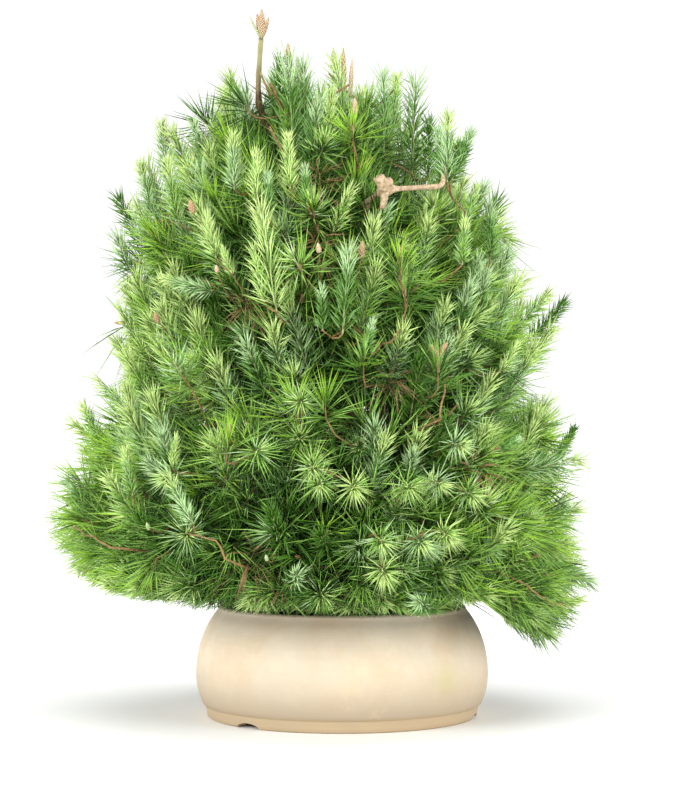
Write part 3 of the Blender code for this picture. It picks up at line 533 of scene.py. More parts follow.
def stoneware_finish(settings):
    """Unglazed clay: soft warm patches, fine sand, a mineral stain, a darker foot, and painted shade on the
    lower wall.
    """
    clay = Finish("stoneware", 0.72, 0.35)
    patches = clay.fade(clay.noise(16.0, 5.0, 0.62), 0.40, 0.64)
    body = clay.blend(patches, settings.clay, settings.blush)
    mottling = clay.fade(clay.noise(42.0, 6.0, 0.7), 0.40, 0.70, 0.0, 0.55)
    body = clay.blend(mottling, body, shaded(settings.clay, 1.14))
    ragged = clay.math("MULTIPLY", clay.noise(60.0, 4.0, 0.6), 0.016)
    reach = clay.math("ADD", clay.distance_to(STAIN_PLACE), ragged)
    body = clay.blend(clay.fade(reach, 0.008, 0.032, 0.70, 0.0), body, settings.stain)
    # Painted shade: the lower wall is darkened towards the floor, in place of shade that the lights don't
    # give it
    painted_heel_shade = clay.fade(clay.height(), 0.002, 0.066, 1.0, 0.0)
    body = clay.blend(painted_heel_shade, body, shaded(settings.blush, 0.58))
    band = clay.fade(clay.height(), FOOT_HEIGHT + 0.0005, FOOT_HEIGHT + 0.0040, 0.75, 0.0)
    band = clay.math("MULTIPLY", band, clay.fade(clay.noise(26.0, 5.0, 0.6), 0.25, 0.60, 0.5, 1.0))
    body = clay.blend(band, body, settings.foot)
    rust = clay.fade(clay.noise(21.0, 6.0, 0.75), 0.60, 0.74, 0.0, 0.45)
    body = clay.blend(rust, body, shaded(settings.foot, 1.35))
    specks = clay.fade(clay.noise(420.0, 2.0, 0.5), 0.70, 0.78, 0.0, 0.16)
    body = clay.blend(specks, body, shaded(settings.foot, 0.55))
    sand = clay.noise(900.0, 3.0, 0.6)
    rings = clay.noise(1.0, 3.0, 0.5, clay.stretch((3.0, 3.0, 260.0)))
    relief = clay.math("ADD", clay.math("MULTIPLY", sand, 0.35), rings)
    clay.drive("Roughness", clay.fade(clay.noise(40.0), 0.3, 0.7, 0.66, 0.80))
    return clay.drive("Base Color", body).bump(relief, 0.00035, 0.6).material


def soil_finish(settings):
    """Damp, crumbly soil with pale grit."""
    soil = Finish("soil", 0.92, 0.25)
    damp = soil.fade(soil.noise(70.0, 6.0, 0.7), 0.35, 0.70)
    body = soil.blend(damp, shaded(settings.earth, 0.6), settings.earth)
    body = soil.blend(soil.fade(soil.noise(330.0, 2.0), 0.64, 0.70, 0.0, 0.8), body, settings.grit)
    return soil.drive("Base Color", body).bump(soil.noise(420.0, 5.0, 0.7), 0.0015).material


def grain_finish(name, tone):
    """A loose grain of grit, a little dusty."""
    grain = Finish(name, 0.88, 0.3)
    body = grain.blend(grain.noise(500.0, 3.0), shaded(tone, 0.6), shaded(tone, 1.25))
    return grain.drive("Base Color", body).bump(grain.noise(1200.0, 3.0), 0.0004).material


def bark_finish(settings):
    """Furrowed bark that turns green and smooth up the leader."""
    bark = Finish("bark", 0.84, 0.3)
    plates = bark.noise(1.0, 6.0, 0.65, bark.stretch((260.0, 260.0, 75.0)))
    body = bark.blend(bark.fade(plates, 0.36, 0.60), settings.furrow, settings.old)
    flakes = bark.fade(bark.noise(240.0, 4.0), 0.55, 0.75, 0.0, 0.6)
    body = bark.blend(flakes, body, shaded(settings.twig, 1.1))
    young = bark.math("ADD", bark.height(), bark.math("MULTIPLY", bark.noise(55.0), 0.030))
    body = bark.blend(bark.fade(young, 0.550, 0.600), body, settings.leader)
    return bark.drive("Base Color", body).bump(plates, 0.0012, 0.9).material


def wood_finish(name, tone, lighter, roughness=0.7):
    """Smooth bark of boughs, twigs and shoots, with fine streaks and scars."""
    wood = Finish(name, roughness, 0.35)
    streaks = wood.noise(380.0, 4.0, 0.6)
    body = wood.blend(wood.fade(streaks, 0.35, 0.65), shaded(tone, 0.62), shaded(tone, lighter))
    return wood.drive("Base Color", body).bump(streaks, 0.0005, 0.8).material


def needle_finish(name, tone, roughness=0.50):
    """Waxy green: each needle is a touch lighter or darker than the next."""
    needle = Finish(name, roughness, 0.28)
    varied = needle.fade(needle.noise(130.0, 2.0), 0.32, 0.68)
    body = needle.blend(varied, shaded(tone, 0.80), shaded(tone, 1.22))
    return needle.drive("Base Color", body).material


def bud_finish(name, tone):
    """Dry bud scales, slightly uneven in tone."""
    bud = Finish(name, 0.62, 0.4)
    body = bud.blend(bud.noise(700.0, 3.0), shaded(tone, 0.72), shaded(tone, 1.15))
    return bud.drive("Base Color", body).material


# ---- meshes
def new_object(name, data):
    """A new object in the scene; an earlier one of this name goes, so a button can be pressed again."""
    old = bpy.data.objects.get(name)
    if old:
        bpy.data.objects.remove(old, do_unlink=True)
    made = bpy.data.objects.new(name, data)
    bpy.context.scene.collection.objects.link(made)
    return made


def add_piece(name, mesh, finishes):
    """A piece of the plant that rides with it, with these finishes."""
    piece = new_object(name, mesh)
    for finish in finishes:
        mesh.materials.append(finish)
    mesh.shade_smooth()
    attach(piece, BODY)
    return piece


def mesh_of(name, points, faces, marks=None):
    """A mesh from arrays of points and of equal-sided faces; marks are the faces' material numbers."""
    points, faces = np.asarray(points, np.float32), np.asarray(faces, np.int32)
    mesh = bpy.data.meshes.new(name)
    mesh.vertices.add(len(points))
    mesh.vertices.foreach_set("co", points.ravel())
    mesh.loops.add(faces.size)
    mesh.loops.foreach_set("vertex_index", faces.ravel())
    mesh.polygons.add(len(faces))
    mesh.polygons.foreach_set("loop_start", np.arange(0, faces.size, faces.shape[1], dtype=np.int32))
    if marks is not None:
        mesh.polygons.foreach_set("material_index", np.asarray(marks, np.int32))
    mesh.update(calc_edges=True)
    mesh.validate()
    return mesh


def mesh_from(name, bm):
    """A mesh from the shapes made so far."""
    mesh = bpy.data.meshes.new(name)
    bm.to_mesh(mesh)
    bm.free()
    return mesh


def gather(parts):
    """Joins (points, faces, marks) parts into one set of arrays."""
    starts = np.cumsum([0] + [len(points) for points, _, _ in parts[:-1]])
    points = np.concatenate([part[0] for part in parts])
    faces = np.concatenate([part[1] + start for part, start in zip(parts, starts)])
    return points, faces, np.concatenate([part[2] for part in parts])


def unit(vectors):
    """Each vector at length 1."""
    return vectors / np.linalg.norm(vectors, axis=-1, keepdims=True)


def across(headings):
    """Two unit vectors square to each heading and to each other."""
    helper = np.where(np.abs(headings[..., 2:3]) < 0.9, UP, np.array((1.0, 0.0, 0.0)))
    side = unit(np.cross(headings, helper))
    return side, np.cross(headings, side)


def around(angles, side, front):
    """Directions at these angles, from side towards front."""
    return np.cos(angles)[:, None] * side + np.sin(angles)[:, None] * front


def share_along(points, start, end):
    """How far along a straight span each point's nearest place is, from 0 to 1."""
    span = end - start
    return np.clip((points - start) @ span / (span @ span), 0, 1)


def smooth_line(points, per_span):
    """A Catmull-Rom curve through the points, as an array."""
    points = np.array(points, float)
    ends = np.vstack((2 * points[0] - points[1], points, 2 * points[-1] - points[-2]))
    line = []
    for a, b, c, d in zip(ends, ends[1:], ends[2:], ends[3:]):
        for i in range(per_span):
            t = i / per_span
            bend, turn = 2 * a - 5 * b + 4 * c - d, 3 * b - a - 3 * c + d
            line.append(0.5 * (2 * b + (c - a) * t + bend * t**2 + turn * t**3))
    return np.array(line + [points[-1]])


def tubes(paths, radii, sides):
    """Closed tubes along paths with equal numbers of points: their points, faces, and faces in each."""
    count, steps = radii.shape
    overall = unit(paths[:, -1] - paths[:, 0])
    side, _ = across(overall)
    tangent = unit(np.gradient(paths, axis=1))
    first = unit(np.cross(tangent, side[:, None, :]))
    second = np.cross(tangent, first)
    angle = 2 * math.pi * np.arange(sides) / sides
    ring = around(angle, first[:, :, None, :], second[:, :, None, :])
    points = paths[:, :, None, :] + ring * radii[:, :, None, None]
    row = np.arange(steps - 1)[:, None] * sides
    here, there = np.arange(sides)[None, :], (np.arange(sides)[None, :] + 1) % sides
    quads = np.stack((row + here, row + sides + here, row + sides + there, row + there), axis=-1)
    quads = quads.reshape(-1, 4)
    triangles = np.concatenate((quads[:, [0, 1, 2]], quads[:, [0, 2, 3]]))
    fan = np.array([(0, i, i + 1) for i in range(1, sides - 1)])
    triangles = np.concatenate((triangles, fan, fan[:, ::-1] + (steps - 1) * sides))
    faces = triangles[None] + (np.arange(count) * steps * sides)[:, None, None]
    return points.reshape(-1, 3), faces.reshape(-1, 3), len(triangles)


def tube_part(paths, ends, sides, marks=0):
    """Tubes along these paths, ready to gather: ends are the radii at root and tip, of all or of each."""
    paths = np.array(paths)
    roots, tips = np.broadcast_to(ends, (len(paths), 2)).T
    points, faces, each = tubes(paths, np.linspace(roots, tips, paths.shape[1], axis=1), sides)
    return points, faces, np.repeat(np.broadcast_to(marks, len(paths)), each)


def turned_mesh(name, profile, sides, swell, flipped=False):
    """A profile of (radius, height) points turned about the pot's axis, closed where it meets the axis."""
    points, faces, rings = [], [], []
    angles = 2 * np.pi * np.arange(sides) / sides
    for radius, height in profile:
        rings.append((len(points), 1 if radius < 1e-6 else sides))
        for angle in angles[: rings[-1][1]]:
            spread, lift = swell(radius, height, angle)
            points.append((POT_X + spread * math.cos(angle), spread * math.sin(angle), lift))
    for (a, here), (b, there) in zip(rings, rings[1:]):
        for i in range(sides):
            j = (i + 1) % sides
            if here == 1:
                faces.append((a, b + j, b + i))
            elif there == 1:
                faces.append((a + i, a + j, b))
            else:
                faces.append((a + i, a + j, b + j, b + i))
    mesh = bpy.data.meshes.new(name)
    mesh.from_pydata(points, [], [face[::-1] for face in faces] if flipped else faces)
    return mesh


def arc(centre, semi_axes, start, end, steps):
    """Points (radius, height) along an elliptical arc, angles in degrees above the horizontal."""
    angles = [math.radians(start + (end - start) * i / steps) for i in range(steps + 1)]
    (x, z), (wide, high) = centre, semi_axes
    return [(x + wide * math.cos(angle), z + high * math.sin(angle)) for angle in angles]


# ---- pot
STAIN_PLACE = (0.105, -0.0915, 0.040)
RIM_STEPS = 12
WALL_STEPS = 26
FLOOR_CORNER = 0.006  # how far the floor's flat ends before the wall
CREASE = ((0.0012, 0.0009), (0.0001, 0.0003), (-0.0002, -0.0008))  # (out, up) from the foot's upper edge
FOOT_EDGE = ((0.0013, 0.0045), (0.0005, 0.0012), (-0.0008, 0.0))  # out from the foot's radius, and height
STEADY_HEIGHT = 0.003  # the wall is true below this height
STEADY_RADIUS = 0.09  # and inside this radius


def wall_radius(height):
    """Outer radius of the pot's wall at a height."""
    drop = SHOULDER_RISE if height > BELLY_HEIGHT else HEEL_DROP
    lift = (height - BELLY_HEIGHT) / drop
    return BELLY_CENTRE_RADIUS + (BELLY_RADIUS - BELLY_CENTRE_RADIUS) * math.sqrt(1 - lift * lift)


def pot_profile():
    """From the middle of the floor up the inner wall, over the rim, and down the outside to the foot."""
    lip = WALL / 2
    lip_height = POT_HEIGHT - lip
    corner = wall_radius(FLOOR_HEIGHT) - WALL - FLOOR_CORNER
    floor = [(radius, FLOOR_HEIGHT) for radius in (0.0, 0.06, corner)]
    rising = np.linspace(0.024, lip_height - 0.002, WALL_STEPS // 2)
    inside = [(wall_radius(height) - WALL, height) for height in rising]
    rim = arc((wall_radius(lip_height) - lip, lip_height), (lip, lip), 180, 0, RIM_STEPS)
    falling = np.linspace(lip_height - 0.003, FOOT_HEIGHT + 0.0020, WALL_STEPS)
    outside = [(wall_radius(height), height) for height in falling]
    crease = [(FOOT_TOP_RADIUS + out, FOOT_HEIGHT + up) for out, up in CREASE]
    foot = [(FOOT_RADIUS + out, height) for out, height in FOOT_EDGE]
    inner_radius = FOOT_RADIUS - FOOT_WIDTH
    foot += [(inner_radius + 0.001, 0.0), (inner_radius, 0.001)]
    recess = [(radius, RECESS_HEIGHT) for radius in (inner_radius, 0.05, 0.0)]
    return floor + inside + rim + outside + crease + foot + recess


def foot_notch(index):
    """A shallow arch through the foot ring, where water runs out."""
    azimuth = FOOT_NOTCH_AZIMUTH + 2 * math.pi * index / FOOT_NOTCHES
    bm = bmesh.new()
    bmesh.ops.create_cone(bm, cap_ends=True, segments=40, radius1=1, radius2=1, depth=1)
    bmesh.ops.scale(bm, verts=bm.verts, vec=(FOOT_NOTCH_HEIGHT, FOOT_NOTCH_WIDTH / 2, 5 * FOOT_WIDTH))
    cutter = new_object(f"foot_notch_{index + 1}", mesh_from("foot_notch", bm))
    cutter.rotation_euler = (0, math.radians(90), azimuth)
    middle = FOOT_RADIUS - FOOT_WIDTH / 2
    cutter.location = (POT_X + middle * math.cos(azimuth), middle * math.sin(azimuth), 0)
    return cutter


def apply_cuts(obj, cutters):
    """Cuts the object with each cutter, keeps the result as its mesh and removes the cutters."""
    for cutter in cutters:
        cut = obj.modifiers.new("cut", "BOOLEAN")
        cut.operation = "DIFFERENCE"
        cut.solver = "EXACT"
        cut.object = cutter
    bpy.context.view_layer.update()
    mesh = bpy.data.meshes.new_from_object(obj.evaluated_get(bpy.context.evaluated_depsgraph_get()))
    obj.modifiers.clear()
    obj.data = mesh
    for cutter in cutters:
        bpy.data.objects.remove(cutter, do_unlink=True)


def make_pot(settings):
    """The thrown pot: a bulging wall that is never quite round, a soft rim and a notched foot."""

    def swell(radius, height, angle):
        if height < STEADY_HEIGHT or radius < STEADY_RADIUS:
            return radius, height
        place = Vector((math.cos(angle) * 1.6, math.sin(angle) * 1.6, height * 22))
        return radius - settings.unevenness * (0.5 + 0.5 * noise.noise(place)), height

    mesh = turned_mesh("pot_stoneware", pot_profile(), settings.sides, swell)
    piece = add_piece("pot_stoneware", mesh, [stoneware_finish(settings)])
    apply_cuts(piece, [foot_notch(index) for index in range(FOOT_NOTCHES)])
    piece.data.shade_smooth()
    piece.data.set_sharp_from_angle(angle=math.radians(48))
    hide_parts("pot")


# ---- soil
SOIL_RINGS = 30
SOIL_SIDES = 120
SOIL_SIDE_HEIGHTS = (0.064, 0.044, 0.026)
GRAIN_SIZES = (0.0009, 0.0026)
GRAIN_TONES = ((0.30, 0.24, 0.17), (0.10, 0.062, 0.038), (0.34, 0.17, 0.085))


def soil_height(radius, angle, relief):
    """The soil's surface: level at the trunk, lower at the wall, crumbly all over."""
    fall = max(0.0, radius - SOIL_PLATEAU) / (wall_radius(SOIL_EDGE) - WALL - SOIL_PLATEAU)
    level = SOIL_TOP + (SOIL_EDGE - SOIL_TOP) * min(1.0, fall)
    place = Vector((radius * math.cos(angle), radius * math.sin(angle), 0.0))
    crumbs = noise.noise(place * 160) * 0.6 + noise.noise(place * 420) * 0.4
    return level - relief * (0.5 + 0.5 * crumbs)


def soil_profile(clear):
    """From the middle of the surface out to the wall, down it and back under the soil."""
    edge = wall_radius(SOIL_EDGE) - clear
    top = [(edge * i / SOIL_RINGS, SOIL_TOP) for i in range(SOIL_RINGS + 1)]
    side = [(wall_radius(height) - clear, height) for height in SOIL_SIDE_HEIGHTS]
    floor = [(wall_radius(SOIL_FLOOR) - clear - FLOOR_CORNER, SOIL_FLOOR), (0.0, SOIL_FLOOR)]
    return top + side + floor


def grain_parts(edge, settings):
    """Loose, squashed grains scattered over the soil."""
    bm = bmesh.new()
    bmesh.ops.create_icosphere(bm, subdivisions=1, radius=1)
    ball = np.array([v.co for v in bm.verts])
    ball_faces = np.array([[v.index for v in face.verts] for face in bm.faces])
    bm.free()
    chance = np.random.default_rng(3)
    parts = []
    for i in range(settings.grains):
        radius = edge * math.sqrt(chance.uniform(0.09, 0.96))
        angle = chance.uniform(0, 2 * math.pi)
        size = chance.uniform(*GRAIN_SIZES)
        shape = ball * (chance.uniform(0.6, 1.0, 3) * size) * chance.uniform(0.8, 1.15, (len(ball), 1))
        height = soil_height(radius, angle, settings.roughness) + 0.25 * size
        spot = (POT_X + radius * math.cos(angle), radius * math.sin(angle), height)
        parts.append((shape + spot, ball_faces, np.full(len(ball_faces), i % len(GRAIN_TONES))))
    return parts


def make_soil(settings):
    """The soil's crumbly surface and the loose grains on it."""
    clear = WALL + 2 * GAP

    def swell(radius, height, angle):
        if height < SOIL_EDGE - 0.001:
            return radius, height
        return radius, soil_height(radius, angle, settings.roughness)

    mesh = turned_mesh("soil_surface", soil_profile(clear), SOIL_SIDES, swell, flipped=True)
    piece = add_piece("soil_surface", mesh, [soil_finish(settings)])
    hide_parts("soil")
    grains = mesh_of("soil_grains", *gather(grain_parts(wall_radius(SOIL_EDGE) - clear, settings)))
    finishes = [grain_finish(f"grain_{i + 1}", tone) for i, tone in enumerate(GRAIN_TONES)]
    add_piece("soil_grains", grains, finishes)


# ---- limbs
SMOOTHINGS = 4  # of a limb's line
SCAR_STEP = 0.16  # how fast the bark's pattern changes along a limb, from ring to ring
SEED_STEP = 7.3  # how far apart the patterns of two limbs lie
MOST_FURROW = 0.16  # depth of a furrow, as a share of the limb's radius
TRUNK_RING, BOUGH_RING = 0.0022, 0.0028  # how far apart the rings of bark are
TRUNK_SIDES, BOUGH_SIDES, STUB_SIDES, LEADER_SIDES = 32, 14, 12, 10
TRUNK_GRAIN, BOUGH_GRAIN = 2.6, 1.8  # how close together the furrows lie
BOUGH_RELIEF, STUB_RELIEF = 0.6, 0.8  # as shares of the trunk's
STUB_RINGS = 6
STUB_SEED = 90


class Limb:
    """The centreline and radii of the trunk or of a bough."""

    def __init__(self, line, root_radius, tip_radius):
        self.line = np.array(line, float)
        steps = np.linalg.norm(np.diff(self.line, axis=0), axis=1)
        self.gone = np.concatenate(([0.0], np.cumsum(steps)))
        self.radii = root_radius + (tip_radius - root_radius) * self.gone / self.gone[-1]

    def at_height(self, height):
        """The centreline's point and radius at a height."""
        for a, b, radius in zip(self.line, self.line[1:], self.radii):
            if a[2] <= height <= b[2]:
                return a + (b - a) * (height - a[2]) / (b[2] - a[2]), radius
        return self.line[-1], self.radii[-1]

    def distance(self, points):
        """The distance from each point to the limb's surface."""
        best = np.full(len(points), 1.0)
        for a, b, radius in zip(self.line, self.line[1:], self.radii):
            foot = a + share_along(points, a, b)[:, None] * (b - a)
            best = np.minimum(best, np.linalg.norm(points - foot, axis=1) - radius)
        return best

    def refined(self, step):
        """The limb's line and radii at even short steps."""
        count = max(4, round(self.gone[-1] / step))
        at = np.linspace(0, self.gone[-1], count)
        line = np.stack([np.interp(at, self.gone, self.line[:, axis]) for axis in range(3)], axis=1)
        for _ in range(SMOOTHINGS):
            line[1:-1] = 0.25 * line[:-2] + 0.5 * line[1:-1] + 0.25 * line[2:]
        return line, np.interp(at, self.gone, self.radii)


def limb_skin(line, radii, sides, relief, seed, grain):
    """A limb's bark as the points and faces of rings: furrows run along it, and scars ring it."""
    tangents = unit(np.gradient(line, axis=0))
    side = across(tangents[:1])[0][0]
    points = []
    for i, (centre, radius, tangent) in enumerate(zip(line, radii, tangents)):
        side = unit(side - tangent * (side @ tangent))
        front = np.cross(tangent, side)
        for k in range(sides):
            angle = 2 * math.pi * k / sides
            along = i * SCAR_STEP + seed * SEED_STEP
            place = Vector((math.cos(angle) * grain, math.sin(angle) * grain, along))
            furrow = 1 - 2 * abs(noise.noise(place)) + 0.5 * noise.noise(place * 2.7)
            depth = min(relief, MOST_FURROW * radius) * furrow
            points.append(centre + (math.cos(angle) * side + math.sin(angle) * front) * (radius - depth))
    rows, faces = len(line), []
    for i in range(rows - 1):
        for k in range(sides):
            j = (k + 1) % sides
            a, b = i * sides, (i + 1) * sides
            faces.append((a + k, a + j, b + j))
            faces.append((a + k, b + j, b + k))
    points += [line[0], line[-1]]
    for k in range(sides):
        j = (k + 1) % sides
        faces.append((len(points) - 2, j, k))
        faces.append((len(points) - 1, (rows - 1) * sides + k, (rows - 1) * sides + j))
    return np.array(points), np.array(faces)


def widen_root(points):
    """Spreads the foot of the trunk into root lobes, and levels its cut."""
    foot = np.array(TRUNK_LINE[0])
    rise = points[:, 2] - foot[2]
    low = rise < 0.0015
    points[low, 2] = foot[2]
    rise[low] = 0.0
    away = points[:, :2] - foot[:2]
    lobe = 0.6 + 0.4 * np.cos(ROOT_LOBES * np.arctan2(away[:, 1], away[:, 0]))
    widen = ROOT_FLARE * lobe * np.exp(-((rise / ROOT_FLARE_HEIGHT) ** 1.5))
    points[:, :2] += away * np.where(rise < 3 * ROOT_FLARE_HEIGHT, widen, 0.0)[:, None]


def make_limbs(settings):
    """The trunk and the boughs, each with its bark in relief."""
    plan = crown_plan()
    line, radii = plan.trunk.refined(TRUNK_RING)
    radii = radii * np.interp(line[:, 2], LEADER_THINS, LEADER_SLIM)
    points, faces = limb_skin(line, radii, TRUNK_SIDES, settings.relief, 0, TRUNK_GRAIN)
    widen_root(points)
    trunk = add_piece("trunk_bark", mesh_of("trunk_bark", points, faces), [bark_finish(settings)])
    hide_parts("trunk")
    path = np.linspace(TRUNK_LINE[-1], LEADER_TOP, 3)
    stem = tube_part([path], [LEADER_RADIUS, LEADER_RADIUS], LEADER_SIDES)
    young = wood_finish("leader_bark", settings.leader, 1.15)
    add_piece("leader_stem", mesh_of("leader_stem", *stem), [young])

    brown = wood_finish("bough_bark", shaded(settings.twig, 0.75), 1.2, 0.8)
    pale = wood_finish("pale_bough", settings.pale, 1.15, 0.7)
    parts = []
    for mass in plan.masses:
        line, radii = mass.bough.refined(BOUGH_RING)
        relief = BOUGH_RELIEF * settings.relief
        points, faces = limb_skin(line, radii, BOUGH_SIDES, relief, mass.seed + 1, BOUGH_GRAIN)
        parts.append((points, faces, np.full(len(faces), int(mass.name == "shoulder"))))
    for heading, length, radii in SHOULDER_STUBS:
        steps = np.linspace(0, 1, STUB_RINGS)[:, None]
        path = np.array(SHOULDER_KNUCKLE) + unit(np.array(heading)) * length * steps
        radii = np.linspace(*radii, STUB_RINGS)
        relief = STUB_RELIEF * settings.relief
        points, faces = limb_skin(path, radii, STUB_SIDES, relief, STUB_SEED + length, BOUGH_GRAIN)
        parts.append((points, faces, np.ones(len(faces), int)))
    boughs = add_piece("bough_bark", mesh_of("bough_bark", *gather(parts)), [brown, pale])
    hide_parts(*["bough_" + mass.name for mass in plan.masses])


# ---- the masses' places
HEIGHTS, MIDDLES, HALF_WIDTHS = (np.array(column) for column in zip(*CROWN_PROFILE))


def in_crown(points, spare=0.0):
    """Whether each point is inside the crown's profile, turned about its middle."""
    z = points[:, 2]
    half_width = np.interp(z, HEIGHTS, HALF_WIDTHS) + spare
    away = np.hypot(points[:, 0] - np.interp(z, HEIGHTS, MIDDLES), points[:, 1] / CROWN_DEPTH)
    return (away <= half_width) & (z >= HEIGHTS[0]) & (z <= HEIGHTS[-1] + spare)


def in_sky(points):
    """Whether each point would close a gap of sky at the crown's edge."""
    gaps = np.array(SKY_GAPS)
    away = np.hypot(points[:, None, 0] - gaps[:, 0], points[:, None, 2] - gaps[:, 1])
    return (away < gaps[:, 2]).any(axis=1)


def lowest_hang(points):
    """How low foliage hangs at each point: level with the rim, higher beyond it, and low at the right."""
    from_pot = np.hypot(points[:, 0] - POT_X, points[:, 1])
    beyond_rim = np.where(points[:, 0] < DROOP_EDGE, RIM_RISE * np.maximum(0.0, from_pot - RIM_RADIUS), 0.0)
    return np.interp(points[:, 0], *zip(*HANG_LINE)) + 0.6 * beyond_rim


def hangs_clear(points, spare=0.0):
    """Whether each point is above where foliage may hang, and clear of the pot."""
    x, y, z = points.T
    from_pot = np.hypot(x - POT_X, y)
    beside_pot = from_pot > BELLY_RADIUS + POT_CLEARANCE + spare
    above_pot = z > POT_HEIGHT + 0.001 + spare
    above_soil = (from_pot < RIM_RADIUS - WALL) & (z > SOIL_TOP + 0.002 + spare)
    return (z > lowest_hang(points) + spare) & (beside_pot | above_pot | above_soil)


class Mass:
    """A mass of foliage: the space that it keeps to, and the bough that carries it."""

    def __init__(self, name, centre, radius, rise, trunk_height, seed):
        self.name = name
        self.tier = "crest" if name == "shoulder" else name.split("_")[0]
        self.centre = np.array(centre)
        self.radius = radius
        self.rise = rise
        self.trunk_height = trunk_height
        self.seed = seed
        self.outward = unit(self.centre - CROWN_MIDDLE)
        self.walls = []
        self.bough = None

    def wall_off(self, others):
        """Plane walls between neighbours, by their sizes."""
        for other in others:
            away = other.centre - self.centre
            distance = np.linalg.norm(away)
            if other is self or distance > 1.2 * (self.radius + other.radius):
                continue
            share = (distance**2 + self.radius**2 - other.radius**2) / (2 * distance)
            share = min(max(share, LEAST_SHARE * distance), (1 - LEAST_SHARE) * distance)
            normal = away / distance
            self.walls.append((normal, normal @ self.centre + share - SEAM / 2))

    def in_outline(self, points):
        """Whether each point is in the mass's rounded outline and in the crown's."""
        away = points - self.centre
        flat = (away[:, 0] ** 2 + away[:, 1] ** 2) / self.radius**2
        return (flat + away[:, 2] ** 2 / self.rise**2 <= 1) & in_crown(points)

    def in_space(self, points):
        """Whether each point is in this mass's own space, clear of its neighbours and of the pot."""
        inside = self.in_outline(points) & hangs_clear(points)
        for normal, limit in self.walls:
            inside &= points @ normal <= limit
        return inside

    def reach(self, direction, inside):
        """How far a straight line from the centre stays inside, in short steps."""
        steps = np.arange(REACH_STEP, MOST_REACH, REACH_STEP)
        stays = inside(self.centre + steps[:, None] * direction)
        return REACH_STEP * (len(steps) if stays.all() else int(np.argmin(stays)))

    def is_open(self, direction, inward_limit):
        """Whether the mass faces out of the crown this way, with no neighbour close by."""
        if direction @ self.outward < inward_limit:
            return False
        outline = self.reach(direction, self.in_outline)
        return self.reach(direction, self.in_space) > OPEN_SHARE * outline


def tier_masses():
    """The rings of masses, each shifted a little by a seeded rule."""
    masses = []
    for tier_index, tier in enumerate(TIERS):
        shift = random.Random(100 + tier_index)
        for i in range(tier.count):
            azimuth = math.radians(tier.azimuth + 360 * i / tier.count)
            ring = tier.ring + shift.uniform(-PLACE_JITTER, 0)
            height = tier.height + shift.uniform(-PLACE_JITTER, PLACE_JITTER)
            height -= tier.droop * math.cos(azimuth)
            centre = (tier.shift + ring * math.cos(azimuth), ring * math.sin(azimuth), height)
            name = f"{tier.name}_{i + 1}"
            trunk_height = tier.trunk_height + BOUGH_STEP * i
            masses.append(Mass(name, centre, tier.radius, tier.rise, trunk_height, 10 * tier_index + i))
    return masses


def shoulder_limb(mass, trunk):
    """The bare bough, swollen where it was pruned."""
    root = trunk.at_height(mass.trunk_height)[0]
    knuckle, bend = np.array(SHOULDER_KNUCKLE), np.array(SHOULDER_BEND)
    before = knuckle + (root - knuckle) * 0.14
    after = knuckle + (bend - knuckle) * 0.22
    tip = bend + (mass.centre - bend) * 0.45
    line = [root, (root + knuckle) / 2, before, knuckle, after, bend, tip]
    limb = Limb(line, SHOULDER_RADIUS, 0.8 * SHOULDER_RADIUS)
    limb.radii[3] = KNUCKLE_RADIUS
    return limb


def bough_limb(mass, trunk):
    """The bough arches from the trunk's centreline to where it enters its mass."""
    root, trunk_radius = trunk.at_height(mass.trunk_height)
    root_radius = min(max(BOUGH_SHARE * trunk_radius, BOUGH_RADII[0]), BOUGH_RADII[1])
    crest = (root + mass.centre) / 2 + UP * BOUGH_ARCH * np.linalg.norm(mass.centre - root)
    last = mass.centre - crest
    short_of = min(TIP_SHARE * mass.rise, CREST_SHARE * np.linalg.norm(last))
    tip = mass.centre - unit(last) * short_of
    t = np.linspace(0, 1, BOUGH_POINTS)[:, None]
    line = root * (1 - t) ** 2 + crest * 2 * t * (1 - t) + tip * t**2
    return Limb(line, root_radius, BOUGH_TAPER * root_radius)


# ---- growth
# The finish of a spray by how young it is, with painted light and painted shade: the first whose number it
# passes
LONG_TINTS = ((-0.02, "light"), (-0.42, "green"), (-math.inf, "deep"))
YOUNG_TINTS = ((0.34, "fresh"), (-0.02, "bloom"), (-0.45, "bluish"), (-math.inf, "green"))
CROWN_TINTS = ("fresh", "bloom", "bluish", "fresh", "lime")  # of the young rosettes on the tips of stars
NEEDLE_BEYOND = 0.85  # how much of its length a needle at a spray's tip stands past the tip
# What makes a spray paler, partly as young growth and partly as painted light: patches of growth, the
# crown's sides, its height, chance, and painted light on the low left side; and the painted shade that each
# layer of depth takes away
PATCH_GLOW, PATCH_SCALE = 0.8, 9.0
SIDE_GLOW, SIDE_FROM = 0.60, 0.64
HIGH_GLOW, CHANCE_GLOW = 0.5, 0.26
LIT_LEFT, LIT_BELOW = -0.06, 0.30
SHADE = 0.54
SPRAY_CLEARANCE = 0.003
SPRAY_OUTSIDE = 0.008  # how far a spray's stem may pass the crown's profile
SPRAY_SCALES = (0.82, 1.16)
FULL_SIZE = 0.06  # a mass of this radius or more carries sprays of full size
OUT_OF_MASS = 0.2  # how much a spray also points out of its mass
LOW_LIFT = 0.25  # how much of its lift a spray low in the crown has
LIFT_FROM, LIFT_RISE = 0.09, 0.08  # sprays don't lift at this height, and lift fully so much higher
FOOT_SINK = 0.006  # a marked shoot's foot sits this much deeper than its tip
NEEDLES_SHOWN = 0.4  # how much of its needles' length a marked shoot seems longer by
ROSETTE_STEM, ROSETTE_SINK = 0.021, -0.006
WITHERED_STEM, WITHERED_SINK = 0.034, 0.020
TWIG_CLEARANCE = 0.004
TWIG_KINK = 0.0011  # how crooked a bare twig is
TWIG_FROM = 0.35  # how far inside the crown it starts, as a share of the way to the middle
STALK_FROM = 0.22  # the same, for a marked bud's stalk
